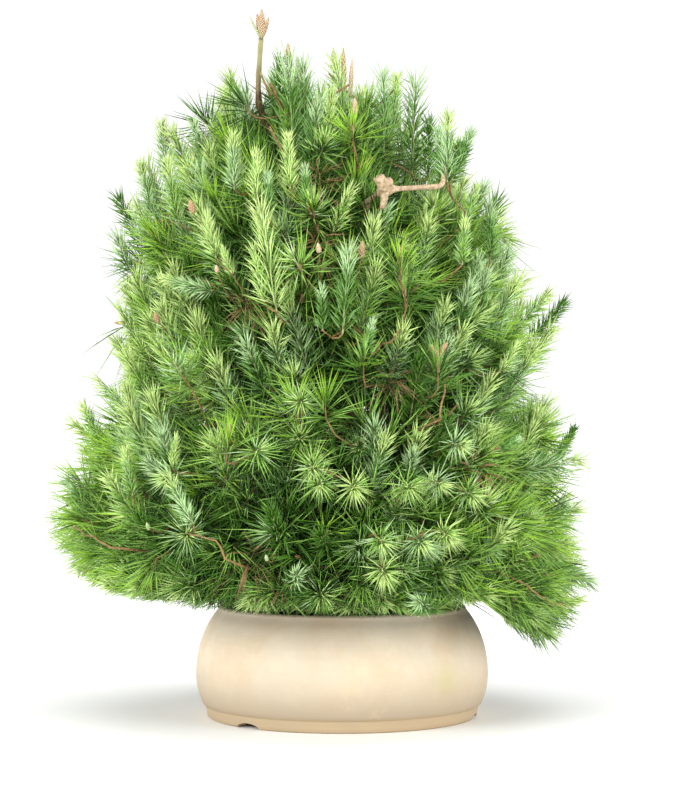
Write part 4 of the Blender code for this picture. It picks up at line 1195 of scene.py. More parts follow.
STALK_DROP = 0.010  # how far below its bud a stalk starts
STEM_SHARE = 0.75  # how far a mass's stem reaches, as a share of the mass's radius
STEM_ARCH = 0.004
ASIDE_COST, BACK_COST = 0.8, 2.0  # what a twig's way aside or back counts for, against its length


def even_directions(count, seed):
    """Directions spread evenly over a ball, turned by a seeded angle."""
    turn = random.Random(seed).uniform(0, 2 * math.pi)
    index = np.arange(count)
    z = 1 - (2 * index + 1) / count
    flat = np.sqrt(1 - z * z)
    angle = GOLDEN_ANGLE * index + turn
    return np.stack((flat * np.cos(angle), flat * np.sin(angle), z), axis=1)


def core_reach(mass, direction):
    """How far the mass's dense middle reaches: all the way to a neighbour, but less far in the open."""
    outline, space = mass.reach(direction, mass.in_outline), mass.reach(direction, mass.in_space)
    lump = CORE_LUMPS * noise.noise(Vector(direction) * 2.2 + Vector((mass.seed, 0, 0)))
    dense = (CORE_SHARE * (1 + lump) + 1 - space / outline) * outline
    return max(min(dense, space - CORE_INSET), REACH_STEP)


def main_twigs(mass):
    """Where the mass's main twigs end: (foot, heading, kind, branch point), as the solids have them."""
    chance = random.Random(mass.seed)
    heading = unit(mass.centre - mass.bough.line[-1])
    ends = []
    for direction in even_directions(round(TUFT_DIRECTIONS * mass.radius / TIERS[0].radius), mass.seed):
        kind = "plume" if chance.random() < PLUME_SHARE else "star"
        inset = chance.uniform(0.86, 1.0)
        if not mass.is_open(direction, INWARD_LIMIT):
            continue
        reach = mass.reach(direction, mass.in_space)
        needle = min(TUFT_NEEDLES[kind], NEEDLE_SHARE * mass.radius)
        stand_off = max(inset * reach - NEEDLE_BEYOND * needle, core_reach(mass, direction) + HUB_RISE)
        branch = mass.centre + heading * 0.35 * reach * (direction @ heading)
        lift = 0.45 if kind == "plume" else 0.15
        ends.append((mass.centre + direction * stand_off, unit(direction + UP * lift), kind, branch))
    return ends


def spray_reach(kind):
    """How far a spray stands beyond its foot."""
    return kind.axis + NEEDLE_BEYOND * kind.needle * math.cos(math.radians(kind.tip_lean))


def spray_end(spray):
    """The far end of a spray's axis."""
    kind = "star" if spray.kind == "crowned" else spray.kind
    return spray.foot + spray.heading * (KINDS[kind].axis * spray.scale)


def tint_of(kind_name, shade, facing, foot, chance):
    """The finish that a spray's needles take: paler where the crown is young and painted as lit, with
    painted shade deeper inside.
    """
    if kind_name == "withered":
        return "straw"
    if kind_name == "lime":
        return "lime"
    glow = PATCH_GLOW * noise.noise(Vector(foot) * PATCH_SCALE) + SIDE_GLOW * (abs(facing[0]) - SIDE_FROM)
    glow = glow + HIGH_GLOW * (foot[2] - CROWN_MIDDLE[2]) + chance.gauss(0, CHANCE_GLOW)
    # Painted light: sprays low on the left, on the key light's side, are dealt paler finishes
    glow += LIT_SIDE * max(0.0, LIT_LEFT - foot[0]) * max(0.0, LIT_BELOW - foot[2])
    # Painted shade: sprays in deeper layers are dealt darker finishes
    glow -= SHADE * shade
    steps = LONG_TINTS if KINDS[kind_name].group == "long" else YOUNG_TINTS
    return next(tint for least, tint in steps if glow > least)


def front_at(place, sink):
    """The point at this (x, z) place, so far behind the crown's front."""
    x, z = place
    width = np.interp(z, HEIGHTS, HALF_WIDTHS)
    depth = math.sqrt(max(width**2 - (x - np.interp(z, HEIGHTS, MIDDLES)) ** 2, 0.0))
    return np.array((x, sink - CROWN_DEPTH * depth, z))


def standing_at(foot, tip, sink):
    """A shoot's foot and tip from their (x, z) places: it follows the crown's front, and leans little."""
    foot, tip = front_at(foot, sink + MARKED_SINK + FOOT_SINK), front_at(tip, sink + MARKED_SINK)
    lean = MOST_LEAN * np.linalg.norm(tip - foot)
    foot[1] = np.clip(foot[1], tip[1] - lean, tip[1] + lean)
    return foot, tip


def marked_sprays():
    """The shoots that have a place of their own."""
    sprays = []

    def add_shoot(kind, tint, foot, tip):
        scale = np.linalg.norm(tip - foot) / (KINDS[kind].axis + NEEDLES_SHOWN * KINDS[kind].needle)
        sprays.append(Spray("", foot, unit(tip - foot), kind, tint, scale, 1.0, len(sprays), True))

    for kind, tint, foot, tip, sink in SHOOTS:
        add_shoot(kind, tint, *standing_at(foot, tip, sink))
    for tint, place in ROSETTES:
        tip = front_at(place, MARKED_SINK + ROSETTE_SINK)
        add_shoot("rosette", tint, tip - unit(tip - CROWN_MIDDLE) * ROSETTE_STEM, tip)
    for place in WITHERED:
        tip = front_at(place, WITHERED_SINK)
        add_shoot("withered", "straw", tip - unit(tip - CROWN_MIDDLE) * WITHERED_STEM, tip)
    for kind, tint, foot, tip in SHOULDER_SHOOTS:
        add_shoot(kind, tint, np.array(foot), np.array(tip))
    return sprays


def crown_places(layer):
    """Places spread evenly over the crown at a layer's depth, each with the way that the surface faces."""
    height = np.linspace(HEIGHTS[0], HEIGHTS[-1] - layer.depth, 400)
    width = np.interp(height + 0.3 * layer.depth, HEIGHTS, HALF_WIDTHS) - layer.depth
    height, width = height[width > 0.01], width[width > 0.01]
    slope = -np.gradient(width, height)
    area = np.cumsum(width * np.hypot(1, slope)) * (height[1] - height[0]) * 2 * math.pi
    count = round(area[-1] / layer.spacing**2)
    index = np.arange(count)
    at = (index + 0.5) / count * area[-1]
    z, w, tilt = (np.interp(at, area, column) for column in (height, width, slope))
    azimuth = GOLDEN_ANGLE * index + layer.shade
    x, y = np.cos(azimuth), np.sin(azimuth)
    places = np.stack((np.interp(z, HEIGHTS, MIDDLES) + w * x, CROWN_DEPTH * w * y, z), axis=1)
    return places, unit(np.stack((x, y, tilt), axis=1))


def underside_places(layer):
    """Places spread evenly under the crown, beyond the pot's rim."""
    outer = HALF_WIDTHS.max()
    count = round(math.pi * (outer**2 - RIM_RADIUS**2) / layer.spacing**2)
    index = np.arange(count)
    radius = np.sqrt(RIM_RADIUS**2 + (outer**2 - RIM_RADIUS**2) * (index + 0.5) / count)
    azimuth = GOLDEN_ANGLE * index
    x, y = np.cos(azimuth), np.sin(azimuth)
    places = np.stack((radius * x, CROWN_DEPTH * radius * y, np.zeros(count)), axis=1)
    places[:, 2] = lowest_hang(places) + layer.depth
    return places, unit(np.stack((x, y, np.full(count, -0.35)), axis=1))


def nearest_mass(place, masses):
    """The mass whose space a place belongs to, and how far out it is as a share of that mass's size."""
    away = place - np.array([mass.centre for mass in masses])
    sizes = np.array([(mass.radius, mass.radius, mass.rise) for mass in masses])
    shares = np.linalg.norm(away / sizes, axis=1)
    return masses[int(np.argmin(shares))], shares.min()


def grown_spray(place, facing, layer, masses, chance):
    """The mass and the spray that grows to this place, or nothing where no mass reaches it."""
    mass, share = nearest_mass(place, masses)
    if share > MOST_OUTSIDE or mass.name == "shoulder":
        return None
    high = float(np.clip((place[2] - LOW) / (HIGH - LOW), 0, 1))
    kinds = layer.high_kinds if chance.random() < high else layer.low_kinds
    kind_name = chance.choices(list(kinds), list(kinds.values()))[0]
    kind = KINDS["star" if kind_name == "crowned" else kind_name]
    scale = min(1.0, mass.radius / FULL_SIZE) * chance.uniform(*SPRAY_SCALES)
    jitter = np.array([chance.gauss(0, SPRAY_JITTER) for _ in range(3)])
    raised = min(1.0, max(0.0, (place[2] - LIFT_FROM) / LIFT_RISE))
    lift = kind.lift * (LOW_LIFT + (1 - LOW_LIFT) * high) * raised
    heading = unit(facing + OUT_OF_MASS * unit(place - mass.centre) + UP * lift + jitter)
    depth = chance.uniform(0, layer.spread + TOP_SPREAD * max(0.0, facing[2]))
    depth += DENT * max(0.0, share - 1) * mass.radius
    foot = place - facing * depth - heading * scale * spray_reach(kind)
    if not hangs_clear(foot[None], SPRAY_CLEARANCE)[0]:
        return None
    shown = "star" if kind_name == "crowned" else kind_name
    tint = tint_of(shown, layer.shade, facing, foot, chance)
    return mass, Spray(mass.tier, foot, heading, kind_name, tint, scale, layer.fullness, 0, False)


def crowds(spray, marked):
    """Whether a spray would grow through one of the marked shoots or hide it from the front."""
    for shoot in marked:
        end = spray_end(shoot)
        for point in (spray.foot, spray_end(spray)):
            nearest = shoot.foot + share_along(point, shoot.foot, end) * (end - shoot.foot)
            x, y, z = point - nearest
            if math.hypot(x, z) < SHOOT_SPACE and y < SHOOT_SPACE:
                return True
    return False


def stands_clear(spray, bare):
    """Whether a spray's stem is inside the crown, above the lowest foliage and not before bare wood."""
    points = np.linspace(spray.foot, spray_end(spray), 3)
    clear = hangs_clear(points, SPRAY_CLEARANCE)
    if not spray.free:
        clear &= in_crown(points, SPRAY_OUTSIDE) & ~in_sky(points) & ~hides_bare(points, bare)
    return clear.all()


def crown_sprays(masses, bare):
    """The sprays of each mass: those of its main twigs, then finer ones in layers round the crown."""
    chance = random.Random(5)
    grown = {mass.name: [] for mass in masses}
    marked = marked_sprays()
    for spray in marked:
        mass = nearest_mass(spray.foot, masses)[0]
        grown[mass.name].append(spray._replace(tier=mass.tier))
    for mass in masses[:-1]:
        for foot, heading, kind, _ in main_twigs(mass):
            shown = "crowned" if kind == "star" else kind
            tint = tint_of(kind, 0, unit(foot - CROWN_MIDDLE), foot, chance)
            spray = Spray(mass.tier, foot, heading, shown, tint, 1.0, 1.0, 0, False)
            if not crowds(spray, marked):
                grown[mass.name].append(spray)
    for layer in (*LAYERS, UNDERSIDE):
        places, facings = (underside_places if layer is UNDERSIDE else crown_places)(layer)
        for place, facing in zip(places, facings):
            found = grown_spray(place, facing, layer, masses, chance)
            if found and not (layer.shade < 2 and crowds(found[1], marked)):
                grown[found[0].name].append(found[1])
    for name, sprays in grown.items():
        parts = [part for spray in sprays for part in crowned(spray, chance)]
        grown[name] = [part for part in parts if stands_clear(part, bare)]
    return grown


def crowned(spray, chance):
    """A spray as one kind or, where a star is crowned, as a star and the young rosette on its tip."""
    spray = spray._replace(seed=chance.randrange(10**9))
    if spray.kind != "crowned":
        return [spray]
    star = spray._replace(kind="star")
    tint = chance.choice(CROWN_TINTS)
    return [star, spray._replace(foot=spray_end(star), kind="rosette", tint=tint, seed=spray.seed + 1)]


def bent_path(start, leaving, foot, heading, count):
    """A twig that leaves the older wood forwards and arrives along its spray's heading."""
    span = min(0.35 * np.linalg.norm(foot - start), MOST_BEND)
    t = np.linspace(0, 1, count)[:, None]
    near, far = start + leaving * span, foot - heading * span
    path = (1 - t) ** 3 * start + 3 * t * (1 - t) ** 2 * near + 3 * t**2 * (1 - t) * far + t**3 * foot
    path[:, 2] = np.maximum(path[:, 2], lowest_hang(path) + TWIG_CLEARANCE)
    return path


def bare_twig_paths():
    """The brown twigs that show at the front, each from well inside the crown."""
    paths = []
    for number, (places, sink) in enumerate(BARE_TWIGS):
        shown = [front_at(place, sink + MARKED_SINK) for place in places]
        inside = shown[0] + TWIG_FROM * (CROWN_MIDDLE - shown[0])
        inside[2] = 2 * shown[0][2] - shown[1][2]
        path = np.array(smooth_line([inside, *shown], 4))
        path[1:-1] += np.random.default_rng(number).normal(0, TWIG_KINK, (len(path) - 2, 3))
        paths.append(path)
    return paths


def marked_buds():
    """The buds that stand out at the front: finish, foot, tip and radius of each."""
    for finish, foot, tip, radius, sink in MARKED_BUDS:
        yield finish, *standing_at(foot, tip, sink + BUD_SINK), radius


def stalk_paths():
    """A fine stalk under each of those buds, from among the sprays behind it."""
    paths = []
    for _, foot, tip, _ in marked_buds():
        up = unit(tip - foot)
        inside = foot + STALK_FROM * (CROWN_MIDDLE - foot) - up * STALK_DROP
        paths.append(bent_path(inside, unit(foot - inside), foot + up * 0.001, up, TWIG_POINTS))
    return paths


def nearest_wood(foot, wood, middle):
    """Which point of the older wood a fine twig to this foot leaves: one close by, and inwards from it."""
    away = foot - wood
    gap = np.linalg.norm(away, axis=1)
    outward = unit((foot - middle) * (1, 1, 0.2))
    along = away @ outward
    lateral = np.linalg.norm(away - along[:, None] * outward, axis=1)
    cost = gap + ASIDE_COST * lateral + BACK_COST * np.maximum(0.0, -along)
    cost = cost + np.where(gap < LEAST_TWIG, 1.0, 0.0)
    return int(np.argmin(cost))


def mass_twigs(mass, sprays):
    """The stem from the bough's tip, the main twigs, and a fine twig from the nearest wood to each spray."""
    tip, before = mass.bough.line[-1], mass.bough.line[-2]
    along = unit(tip - before)
    if mass.name == "shoulder":
        paths = [bent_path(tip, along, spray.foot, spray.heading, TWIG_POINTS) for spray in sprays]
        return [Twig(path, TWIG_RADII["main"]) for path in paths]
    stem = tip + along * np.linspace(0, STEM_SHARE * mass.radius, TWIG_POINTS)[:, None]
    stem += UP * STEM_ARCH * np.sin(np.linspace(0, math.pi, TWIG_POINTS))[:, None]
    twigs = [Twig(stem, TWIG_RADII["stem"])]
    wood, leaving = list(stem), [along] * len(stem)

    def grow(start, way, foot, heading, radii, shared):
        path = bent_path(start, way, foot, heading, TWIG_POINTS)
        twigs.append(Twig(path, TWIG_RADII[radii]))
        wood.extend(path[shared:])
        leaving.extend([unit(foot - start)] * len(path[shared:]))

    for foot, heading, _, branch in main_twigs(mass):
        grow(branch, unit(foot - branch), foot, heading, "main", 0)
    middle = np.array((*mass.bough.line[0][:2], 0.0))
    for spray in sorted(sprays, key=lambda spray: np.linalg.norm(spray.foot - tip)):
        nearest = nearest_wood(spray.foot, np.array(wood), middle)
        grow(wood[nearest], leaving[nearest], spray.foot, spray.heading, "fine", 1)
    return twigs


def spray_axis(spray, shares):
    """Points along a spray's own stem, which curls up a little."""
    kind = KINDS[spray.kind]
    shares = np.asarray(shares)[:, None]
    return spray.foot + kind.axis * spray.scale * (spray.heading * shares + UP * AXIS_CURL * shares**2 / 2)


Plan = namedtuple("Plan", "trunk masses sprays twigs bare")


@functools.cache
def crown_plan():
    """The trunk, the masses with their boughs, and all the sprays and twigs."""
    trunk = Limb(smooth_line(TRUNK_LINE, TRUNK_STEPS), TRUNK_RADIUS, TRUNK_TIP_RADIUS)
    masses = tier_masses()
    for mass in masses:
        mass.bough = bough_limb(mass, trunk)
    radius, rise = SHOULDER_SIZE
    shoulder = Mass("shoulder", SHOULDER_CENTRE, radius, rise, SHOULDER_TRUNK_HEIGHT, len(masses))
    shoulder.bough = shoulder_limb(shoulder, trunk)
    masses.append(shoulder)
    for mass in masses:
        mass.wall_off(masses)
    bare = bare_lines(trunk, masses)
    grown = crown_sprays(masses, bare)
    sprays = [spray for mass in masses for spray in grown[mass.name]]
    twigs = [twig for mass in masses for twig in mass_twigs(mass, grown[mass.name])]
    return Plan(trunk, masses, sprays, twigs, bare)


# ---- needles
WIDEST = {"long": 0.42, "plume": 0.38}  # how far along it a needle is widest
TINTS = {
    "long": ("deep", "green", "light", "vivid", "straw"),
    "plume": ("green", "bluish", "bloom", "fresh", "lime"),
}
KIN = {  # by a spray's finish, those of its youngest needles and of some of its others
    "deep": ("green", "green"),
    "green": ("light", "deep"),
    "light": ("vivid", "green"),
    "vivid": ("vivid", "light"),
    "bluish": ("bloom", "green"),
    "bloom": ("lime", "bluish"),
    "fresh": ("lime", "bloom"),
    "lime": ("lime", "fresh"),
    "straw": ("straw", "straw"),
}
HEART_SHARE = 0.70  # of the way up its stem, from where a spray's needles are young
MIXED_SHARE = 0.28
NEEDLE_SIDES = 3
NEEDLE_FACES = 2 * NEEDLE_SIDES
PAIR_SPREAD = 0.09
SHORTENED = (1.0, 0.8, 0.62)  # what is tried of a needle's length, until it fits
OUTER_DRAWS = (0.0, 0.85, 1.0)  # the random numbers that give each of OUTER_SPARE
TRUNK_CLEARANCE = 0.001
NEEDLE_SIZES = (0.80, 1.10)
NEEDLE_KINK = 0.05


def needle_template(widest):
    """The points of one needle, as (share, width, corner angle) rows, and its triangles."""
    ring = [(widest, 1.0, 2 * math.pi * k / NEEDLE_SIDES) for k in range(NEEDLE_SIDES)]
    edges = [(k + 1, (k + 1) % NEEDLE_SIDES + 1) for k in range(NEEDLE_SIDES)]
    faces = [(0, b, a) for a, b in edges] + [(a, b, NEEDLE_SIDES + 1) for a, b in edges]
    return np.array([(0.0, 0.0, 0.0), *ring, (1.0, 0.0, 0.0)]), np.array(faces)


Needles = namedtuple("Needles", "base direction bend size thickness marks free")


def spray_needles(spray, settings):
    """A spray's needles, as a column of numbers for each thing said of them."""
    kind = KINDS[spray.kind]
    chance = np.random.default_rng(spray.seed)
    count = round(kind.count * spray.fullness * settings.fullness)
    index = np.arange(count)
    pair = index // 2 if kind.group == "long" else index
    t = (pair + 0.5) / (pair[-1] + 1)
    base = spray_axis(spray, t)
    azimuth = GOLDEN_ANGLE * pair + chance.uniform(0, 2 * math.pi)
    lean = np.radians(kind.foot_lean + (kind.tip_lean - kind.foot_lean) * t**0.75)
    lean += np.repeat(chance.normal(0, math.radians(kind.scatter), pair[-1] + 1), np.bincount(pair))
    if kind.group == "long":
        azimuth = azimuth + chance.normal(0, PAIR_SPREAD, count)
        lean += chance.normal(0, PAIR_SPREAD, count)
    side, front = across(spray.heading[None])
    direction = around(lean, spray.heading, around(azimuth, side, front))
    size = kind.needle * spray.scale * (1 - kind.shorter * t**2) * chance.uniform(*NEEDLE_SIZES, count)
    bend = -UP * kind.droop + chance.normal(0, NEEDLE_KINK, (count, 3))
    thickness = np.full(count, kind.thickness * settings.stoutness)
    tints = TINTS[kind.group]
    own = tints.index(spray.tint)
    heart, other = (tints.index(tint) if tint in tints else own for tint in KIN[spray.tint])
    marks = np.where(t > HEART_SHARE, heart, own)
    marks[(chance.random(pair[-1] + 1)[pair] < MIXED_SHARE) & (t <= HEART_SHARE)] = other
    return Needles(base, direction, bend, size, thickness, marks, np.full(count, spray.free))


def keep_clear(needles, plan):
    """Each needle's length once it has been kept in the crown and off the limbs; 0 where it can't grow."""
    base, direction, bend, size, *_ = needles
    kept = np.zeros(len(base))
    low, high = np.array(CAD_BOX) + BOX_SPARE * np.array(((-1, -1, 0), (1, 1, 0)))
    draws = np.random.default_rng(len(base)).random((2, len(base)))
    outer = np.interp(draws[0], OUTER_DRAWS, OUTER_SPARE)
    ragged = np.interp(abs(base[:, 0]), RAGGED_FROM, HANG_RAGGED) * draws[1] ** 2
    for share in SHORTENED:
        tip = base + (direction + bend) * (size * share)[:, None]
        middle = base + (direction + 0.3 * bend) * (0.5 * size * share)[:, None]
        fine = in_crown(tip, outer) & ~in_sky(tip) | needles.free
        fine &= hangs_clear(tip, ragged) & hangs_clear(middle) & ((tip > low) & (tip < high)).all(axis=1)
        for points in (tip, middle):
            fine &= plan.trunk.distance(points) > TRUNK_CLEARANCE
            fine &= ~hides_bare(points, plan.bare)
        kept = np.where((kept == 0) & fine, size * share, kept)
    return kept


def bare_lines(trunk, masses):
    """The wood that shows bare from the front: the leader, its candles and the shoulder's bough."""
    leader = trunk.line[trunk.line[:, 2] > LEADER_SHOWS]
    return [masses[-1].bough.line[2:6], leader, np.array((leader[-1], LEADER_TOP + UP * 0.03))]


def hides_bare(points, lines):
    """Whether each point would hide some of that bare wood from the front."""
    hidden = np.zeros(len(points), bool)
    flat = points[:, [0, 2]]
    for line in lines:
        for a, b in zip(line, line[1:]):
            share = share_along(flat, a[[0, 2]], b[[0, 2]])
            gap = np.linalg.norm(flat - a[[0, 2]] - share[:, None] * (b - a)[[0, 2]], axis=1)
            hidden |= (gap < BARE_VIEW) & (points[:, 1] < a[1] + share * (b[1] - a[1]) + 0.004)
    return hidden


def needle_mesh(name, group, sprays, plan, settings):
    """All the needles of one group on these sprays, as one mesh."""
    columns = zip(*(spray_needles(spray, settings) for spray in sprays))
    needles = Needles(*(np.concatenate(column) for column in columns))
    needles = needles._replace(size=keep_clear(needles, plan))
    needles = Needles(*(column[needles.size > 0] for column in needles))
    direction = unit(needles.direction)
    rows, template = needle_template(WIDEST[group])
    share, width, angle = rows.T
    side, front = across(direction)
    spine = direction[:, None] * share[:, None] + needles.bend[:, None] * (share**2)[:, None]
    spine = needles.base[:, None] + needles.size[:, None, None] * spine
    turn = around(angle, side[:, None], front[:, None])
    points = spine + turn * (0.5 * needles.thickness[:, None, None] * width[:, None])
    faces = template[None] + (np.arange(len(direction)) * len(rows))[:, None, None]
    marks = np.repeat(needles.marks, len(template))
    return mesh_of(name, points.reshape(-1, 3), faces.reshape(-1, 3), marks)


def shared_out(sprays, settings):
    """The sprays in as few even lots as keep each piece's triangles under the limit."""
    total = sum(KINDS[spray.kind].count * spray.fullness for spray in sprays) * settings.fullness
    lots = math.ceil(total * NEEDLE_FACES / MOST_TRIANGLES)
    return [sprays[len(sprays) * i // lots : len(sprays) * (i + 1) // lots] for i in range(lots)]


def make_needles(settings):
    """Each tier's long needles and its short, young ones, in pieces of a size that loads easily."""
    plan = crown_plan()
    for group, tints in TINTS.items():
        finishes = [needle_finish(f"{group}_{tint}", getattr(settings, tint)) for tint in tints]
        for tier in TIERS:
            nodes = ["foliage_" + mass.name for mass in plan.masses if mass.tier == tier.name]
            sprays = [s for s in plan.sprays if s.tier == tier.name and KINDS[s.kind].group == group]
            for number, lot in enumerate(shared_out(sprays, settings), 1):
                name = f"needles_{group}_{tier.name}_{number}"
                piece = add_piece(name, needle_mesh(name, group, lot, plan, settings), finishes)
                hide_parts(*nodes)


# ---- twigs
TWIG_SIDES = 4


def make_twigs(settings):
    """Brown twigs between the boughs and the sprays, and each spray's own stem."""
    plan = crown_plan()
    axes = [spray_axis(spray, np.linspace(0, 1, AXIS_POINTS)) for spray in plan.sprays]
    green = [int(KINDS[spray.kind].group == "plume") for spray in plan.sprays]
    parts = [
        tube_part([twig.path for twig in plan.twigs], [twig.radii for twig in plan.twigs], TWIG_SIDES),
        tube_part(bare_twig_paths(), TWIG_RADII["bare"], 2 * TWIG_SIDES),
        tube_part(stalk_paths(), TWIG_RADII["stalk"], TWIG_SIDES),
        tube_part(axes, TWIG_RADII["axis"], TWIG_SIDES, green),
    ]
    brown = wood_finish("twig_brown", settings.twig, 1.3)
    young = wood_finish("shoot_green", settings.shoot, 1.15)
    add_piece("twigs", mesh_of("twigs", *gather(parts)), [brown, young])


# ---- buds
Candle = namedtuple("Candle", "foot heading length radius scales finish")
LEADER_CANDLES = (
    Candle(LEADER_TOP - UP * 0.0020, unit(np.array((0.04, 0, 1))), 0.0212, 0.0033, 130, "scale"),
    Candle(LEADER_TOP - UP * 0.0025, unit(np.array((-0.20, 0.10, 1))), 0.0184, 0.0028, 100, "scale"),
    Candle(LEADER_TOP - UP * 0.0060, unit(np.array((0.40, -0.10, 1))), 0.0190, 0.0027, 96, "scale"),
    Candle(LEADER_TOP - UP * 0.0070, unit(np.array((-0.50, -0.10, 1))), 0.0240, 0.0012, 30, "green"),
)
BUD_SHARE = 0.30  # of the stars, how many end in a bud
BUD_LENGTHS = (0.007, 0.012)
BUD_RADIUS, BUD_SCALES = 0.0020, 20
BUD_CLEARANCE = 0.006
LEAST_SCALES, SCALES_PER_METRE = 14, 1800  # by the length of a bud with a place of its own
BUD_FINISHES = ("scale", "fringe", "green")
BUD_SHARES = np.array((0.0, 0.15, 0.45, 0.75, 1.0))  # a bud's outline: places along it, and its width there
BUD_WIDTHS = np.array((0.62, 0.88, 0.94, 0.68, 0.14))
SCALE_SHARE = 0.10  # a scale's length, as a share of its bud's
SCALE_LENGTHS = (0.85, 1.15)  # how much that varies
BODY_SHARE = 0.86  # the radius of the body under the scales, as a share of the bud's
# How far out a scale's root, its back and its point stand, as shares of the bud's radius there
ROOT_OUT, BACK_OUT, POINT_OUT = 0.80, 1.05, 1.12
TETRAHEDRON = np.array(((0, 2, 1), (0, 3, 2), (1, 2, 3), (0, 1, 3)))


def candle_part(candle, seed):
    """A bud of overlapping pointed scales round a slim body, each a small tetrahedron."""
    chance = np.random.default_rng(seed)
    side, front = (vector[0] for vector in across(candle.heading[None]))
    path = candle.foot + candle.heading * candle.length * BUD_SHARES[:, None]
    points, faces, each = tubes(path[None], BODY_SHARE * candle.radius * BUD_WIDTHS[None], 8)
    body = (points, faces, np.zeros(each, int))
    index = np.arange(candle.scales)
    t = (index + 0.5) / candle.scales
    out = around(GOLDEN_ANGLE * index, side, front)
    sideways = np.cross(candle.heading, out)
    at = candle.foot + candle.heading * (candle.length * t * 0.92)[:, None]
    wide = candle.radius * np.interp(t, BUD_SHARES, BUD_WIDTHS)
    scale_length = candle.length * SCALE_SHARE * chance.uniform(*SCALE_LENGTHS, candle.scales)
    half = sideways * (0.42 * wide + 0.0002)[:, None]
    root = at + out * (ROOT_OUT * wide)[:, None]
    back = at + out * (BACK_OUT * wide)[:, None] + candle.heading * (0.35 * scale_length)[:, None]
    point = at + out * (POINT_OUT * wide)[:, None] + candle.heading * scale_length[:, None]
    corners = np.stack((root - half, root + half, back, point), axis=1)
    faces = (TETRAHEDRON[None] + 4 * index[:, None, None]).reshape(-1, 3)
    return gather([body, (corners.reshape(-1, 3), faces, np.tile((0, 1, 1, 0), candle.scales))])


def add_buds(name, candles, finishes):
    """Many buds as one piece. A scaly bud's tips are paler; the others are all of one colour."""
    parts = []
    for number, candle in enumerate(candles):
        points, faces, marks = candle_part(candle, number)
        plain = np.full(len(marks), BUD_FINISHES.index(candle.finish))
        parts.append((points, faces, marks if candle.finish == "scale" else plain))
    return add_piece(name, mesh_of(name, *gather(parts)), finishes)


def resting_buds():
    """The buds with a place of their own, then one in the heart of some of the stars."""
    for finish, foot, tip, radius in marked_buds():
        length = float(np.linalg.norm(tip - foot))
        scales = round(LEAST_SCALES + SCALES_PER_METRE * length)
        yield Candle(foot, unit(tip - foot), length, radius, scales, finish)
    chance = random.Random(77)
    for spray in crown_plan().sprays:
        if spray.kind != "star" or chance.random() > BUD_SHARE:
            continue
        foot = spray_axis(spray, [0.9])[0]
        length = chance.uniform(*BUD_LENGTHS)
        if hangs_clear(foot[None] + spray.heading * length, BUD_CLEARANCE)[0]:
            yield Candle(foot, spray.heading, length, BUD_RADIUS, BUD_SCALES, "scale")


def make_buds(settings):
    """The leader's candles, the crest's, and small resting buds in the hearts of the sprays."""
    finishes = [bud_finish("bud_" + name, getattr(settings, name)) for name in BUD_FINISHES]
    leader = add_buds("leader_candles", LEADER_CANDLES, finishes)
    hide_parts("leader_buds")
    add_buds("resting_buds", resting_buds(), finishes)


# ---- studio
LIGHTS = (  # name, which way it stands from the plant, and its softness in degrees
    ("key", (-0.86, -0.62, 0.38), 35),
    ("fill", (0.88, -0.56, 0.33), 35),
    ("top", (0.05, -0.10, 1.00), 60),
)
CAMERA_ASIDE = 0.007  # from the pot's axis, to the right


def soft_light(name, towards, strength, softness):
    """A wide, distant light that shines from one side; towards points from the plant to the light."""
    data = bpy.data.lights.new(name, "SUN")
    data.energy = strength
    data.angle = math.radians(softness)
    light = new_object(name, data)
    light.location = Vector(towards) * 3
    light.rotation_euler = (-Vector(towards)).to_track_quat("-Z", "Y").to_euler()


def studio_world(sky, backdrop):
    """Bright round the horizon, as a white backdrop is, and dimmer overhead."""
    world = bpy.data.worlds.new("studio")
    world.use_nodes = True
    tree = world.node_tree
    height = add_node(tree, "SeparateXYZ", "Z", {"Vector": add_node(tree, "TexCoord", "Generated", {})})
    background = tree.nodes["Background"]
    background.inputs["Color"].default_value = (1.0, 1.0, 1.0, 1.0)
    tree.links.new(smooth_fade(tree, height, 0.20, 0.55, backdrop, sky), background.inputs["Strength"])
    return world


def lay_floor(tone):
    """A wide, pale paper floor, just under the pot's foot."""
    bm = bmesh.new()
    bmesh.ops.create_circle(bm, cap_ends=True, segments=96, radius=30.0)
    mesh = mesh_from("floor", bm)
    floor = new_object("floor", mesh)
    floor.location.z = -0.0002
    paper = Finish("floor_paper", 0.7, 0.2)
    shade = paper.blend(paper.noise(3.0, 3.0), shaded(tone, 0.985), tone)
    paper.drive("Base Color", shade).bump(paper.noise(600.0, 3.0), 0.0002, 0.2)
    mesh.materials.append(paper.material)


def set_camera(settings):
    """The camera, level with the middle of the crown and in front of it."""
    data = bpy.data.cameras.new("camera")
    data.sensor_width = 36.0
    data.lens = settings.lens
    camera = new_object("camera", data)
    camera.location = (POT_X + CAMERA_ASIDE, -settings.distance, settings.height)
    camera.rotation_euler = (math.radians(90), 0, 0)
    bpy.context.scene.camera = camera


def make_stage(settings):
    """A pale floor, soft lights all round and the camera."""
    lay_floor(settings.floor)
    bpy.context.scene.world = studio_world(settings.sky, settings.backdrop)
    for name, towards, softness in LIGHTS:
        soft_light(name + "_light", towards, getattr(settings, name), softness)
    set_camera(settings)
    bpy.context.scene.view_settings.view_transform = "Standard"


# ---- operators and panel
class BONSAI_OT_stage(bpy.types.Operator):
    """Lay the pale floor and set the lights and the camera"""

    bl_idname = "bonsai.stage"
    bl_label = "Stage"

    def execute(self, context):
        make_stage(context.scene.bonsai_stage)
        return {"FINISHED"}


class BONSAI_OT_pot(bpy.types.Operator):
    """Throw the stoneware pot"""

    bl_idname = "bonsai.pot"
    bl_label = "Pot"

    def execute(self, context):
        make_pot(context.scene.bonsai_pot)
        return {"FINISHED"}


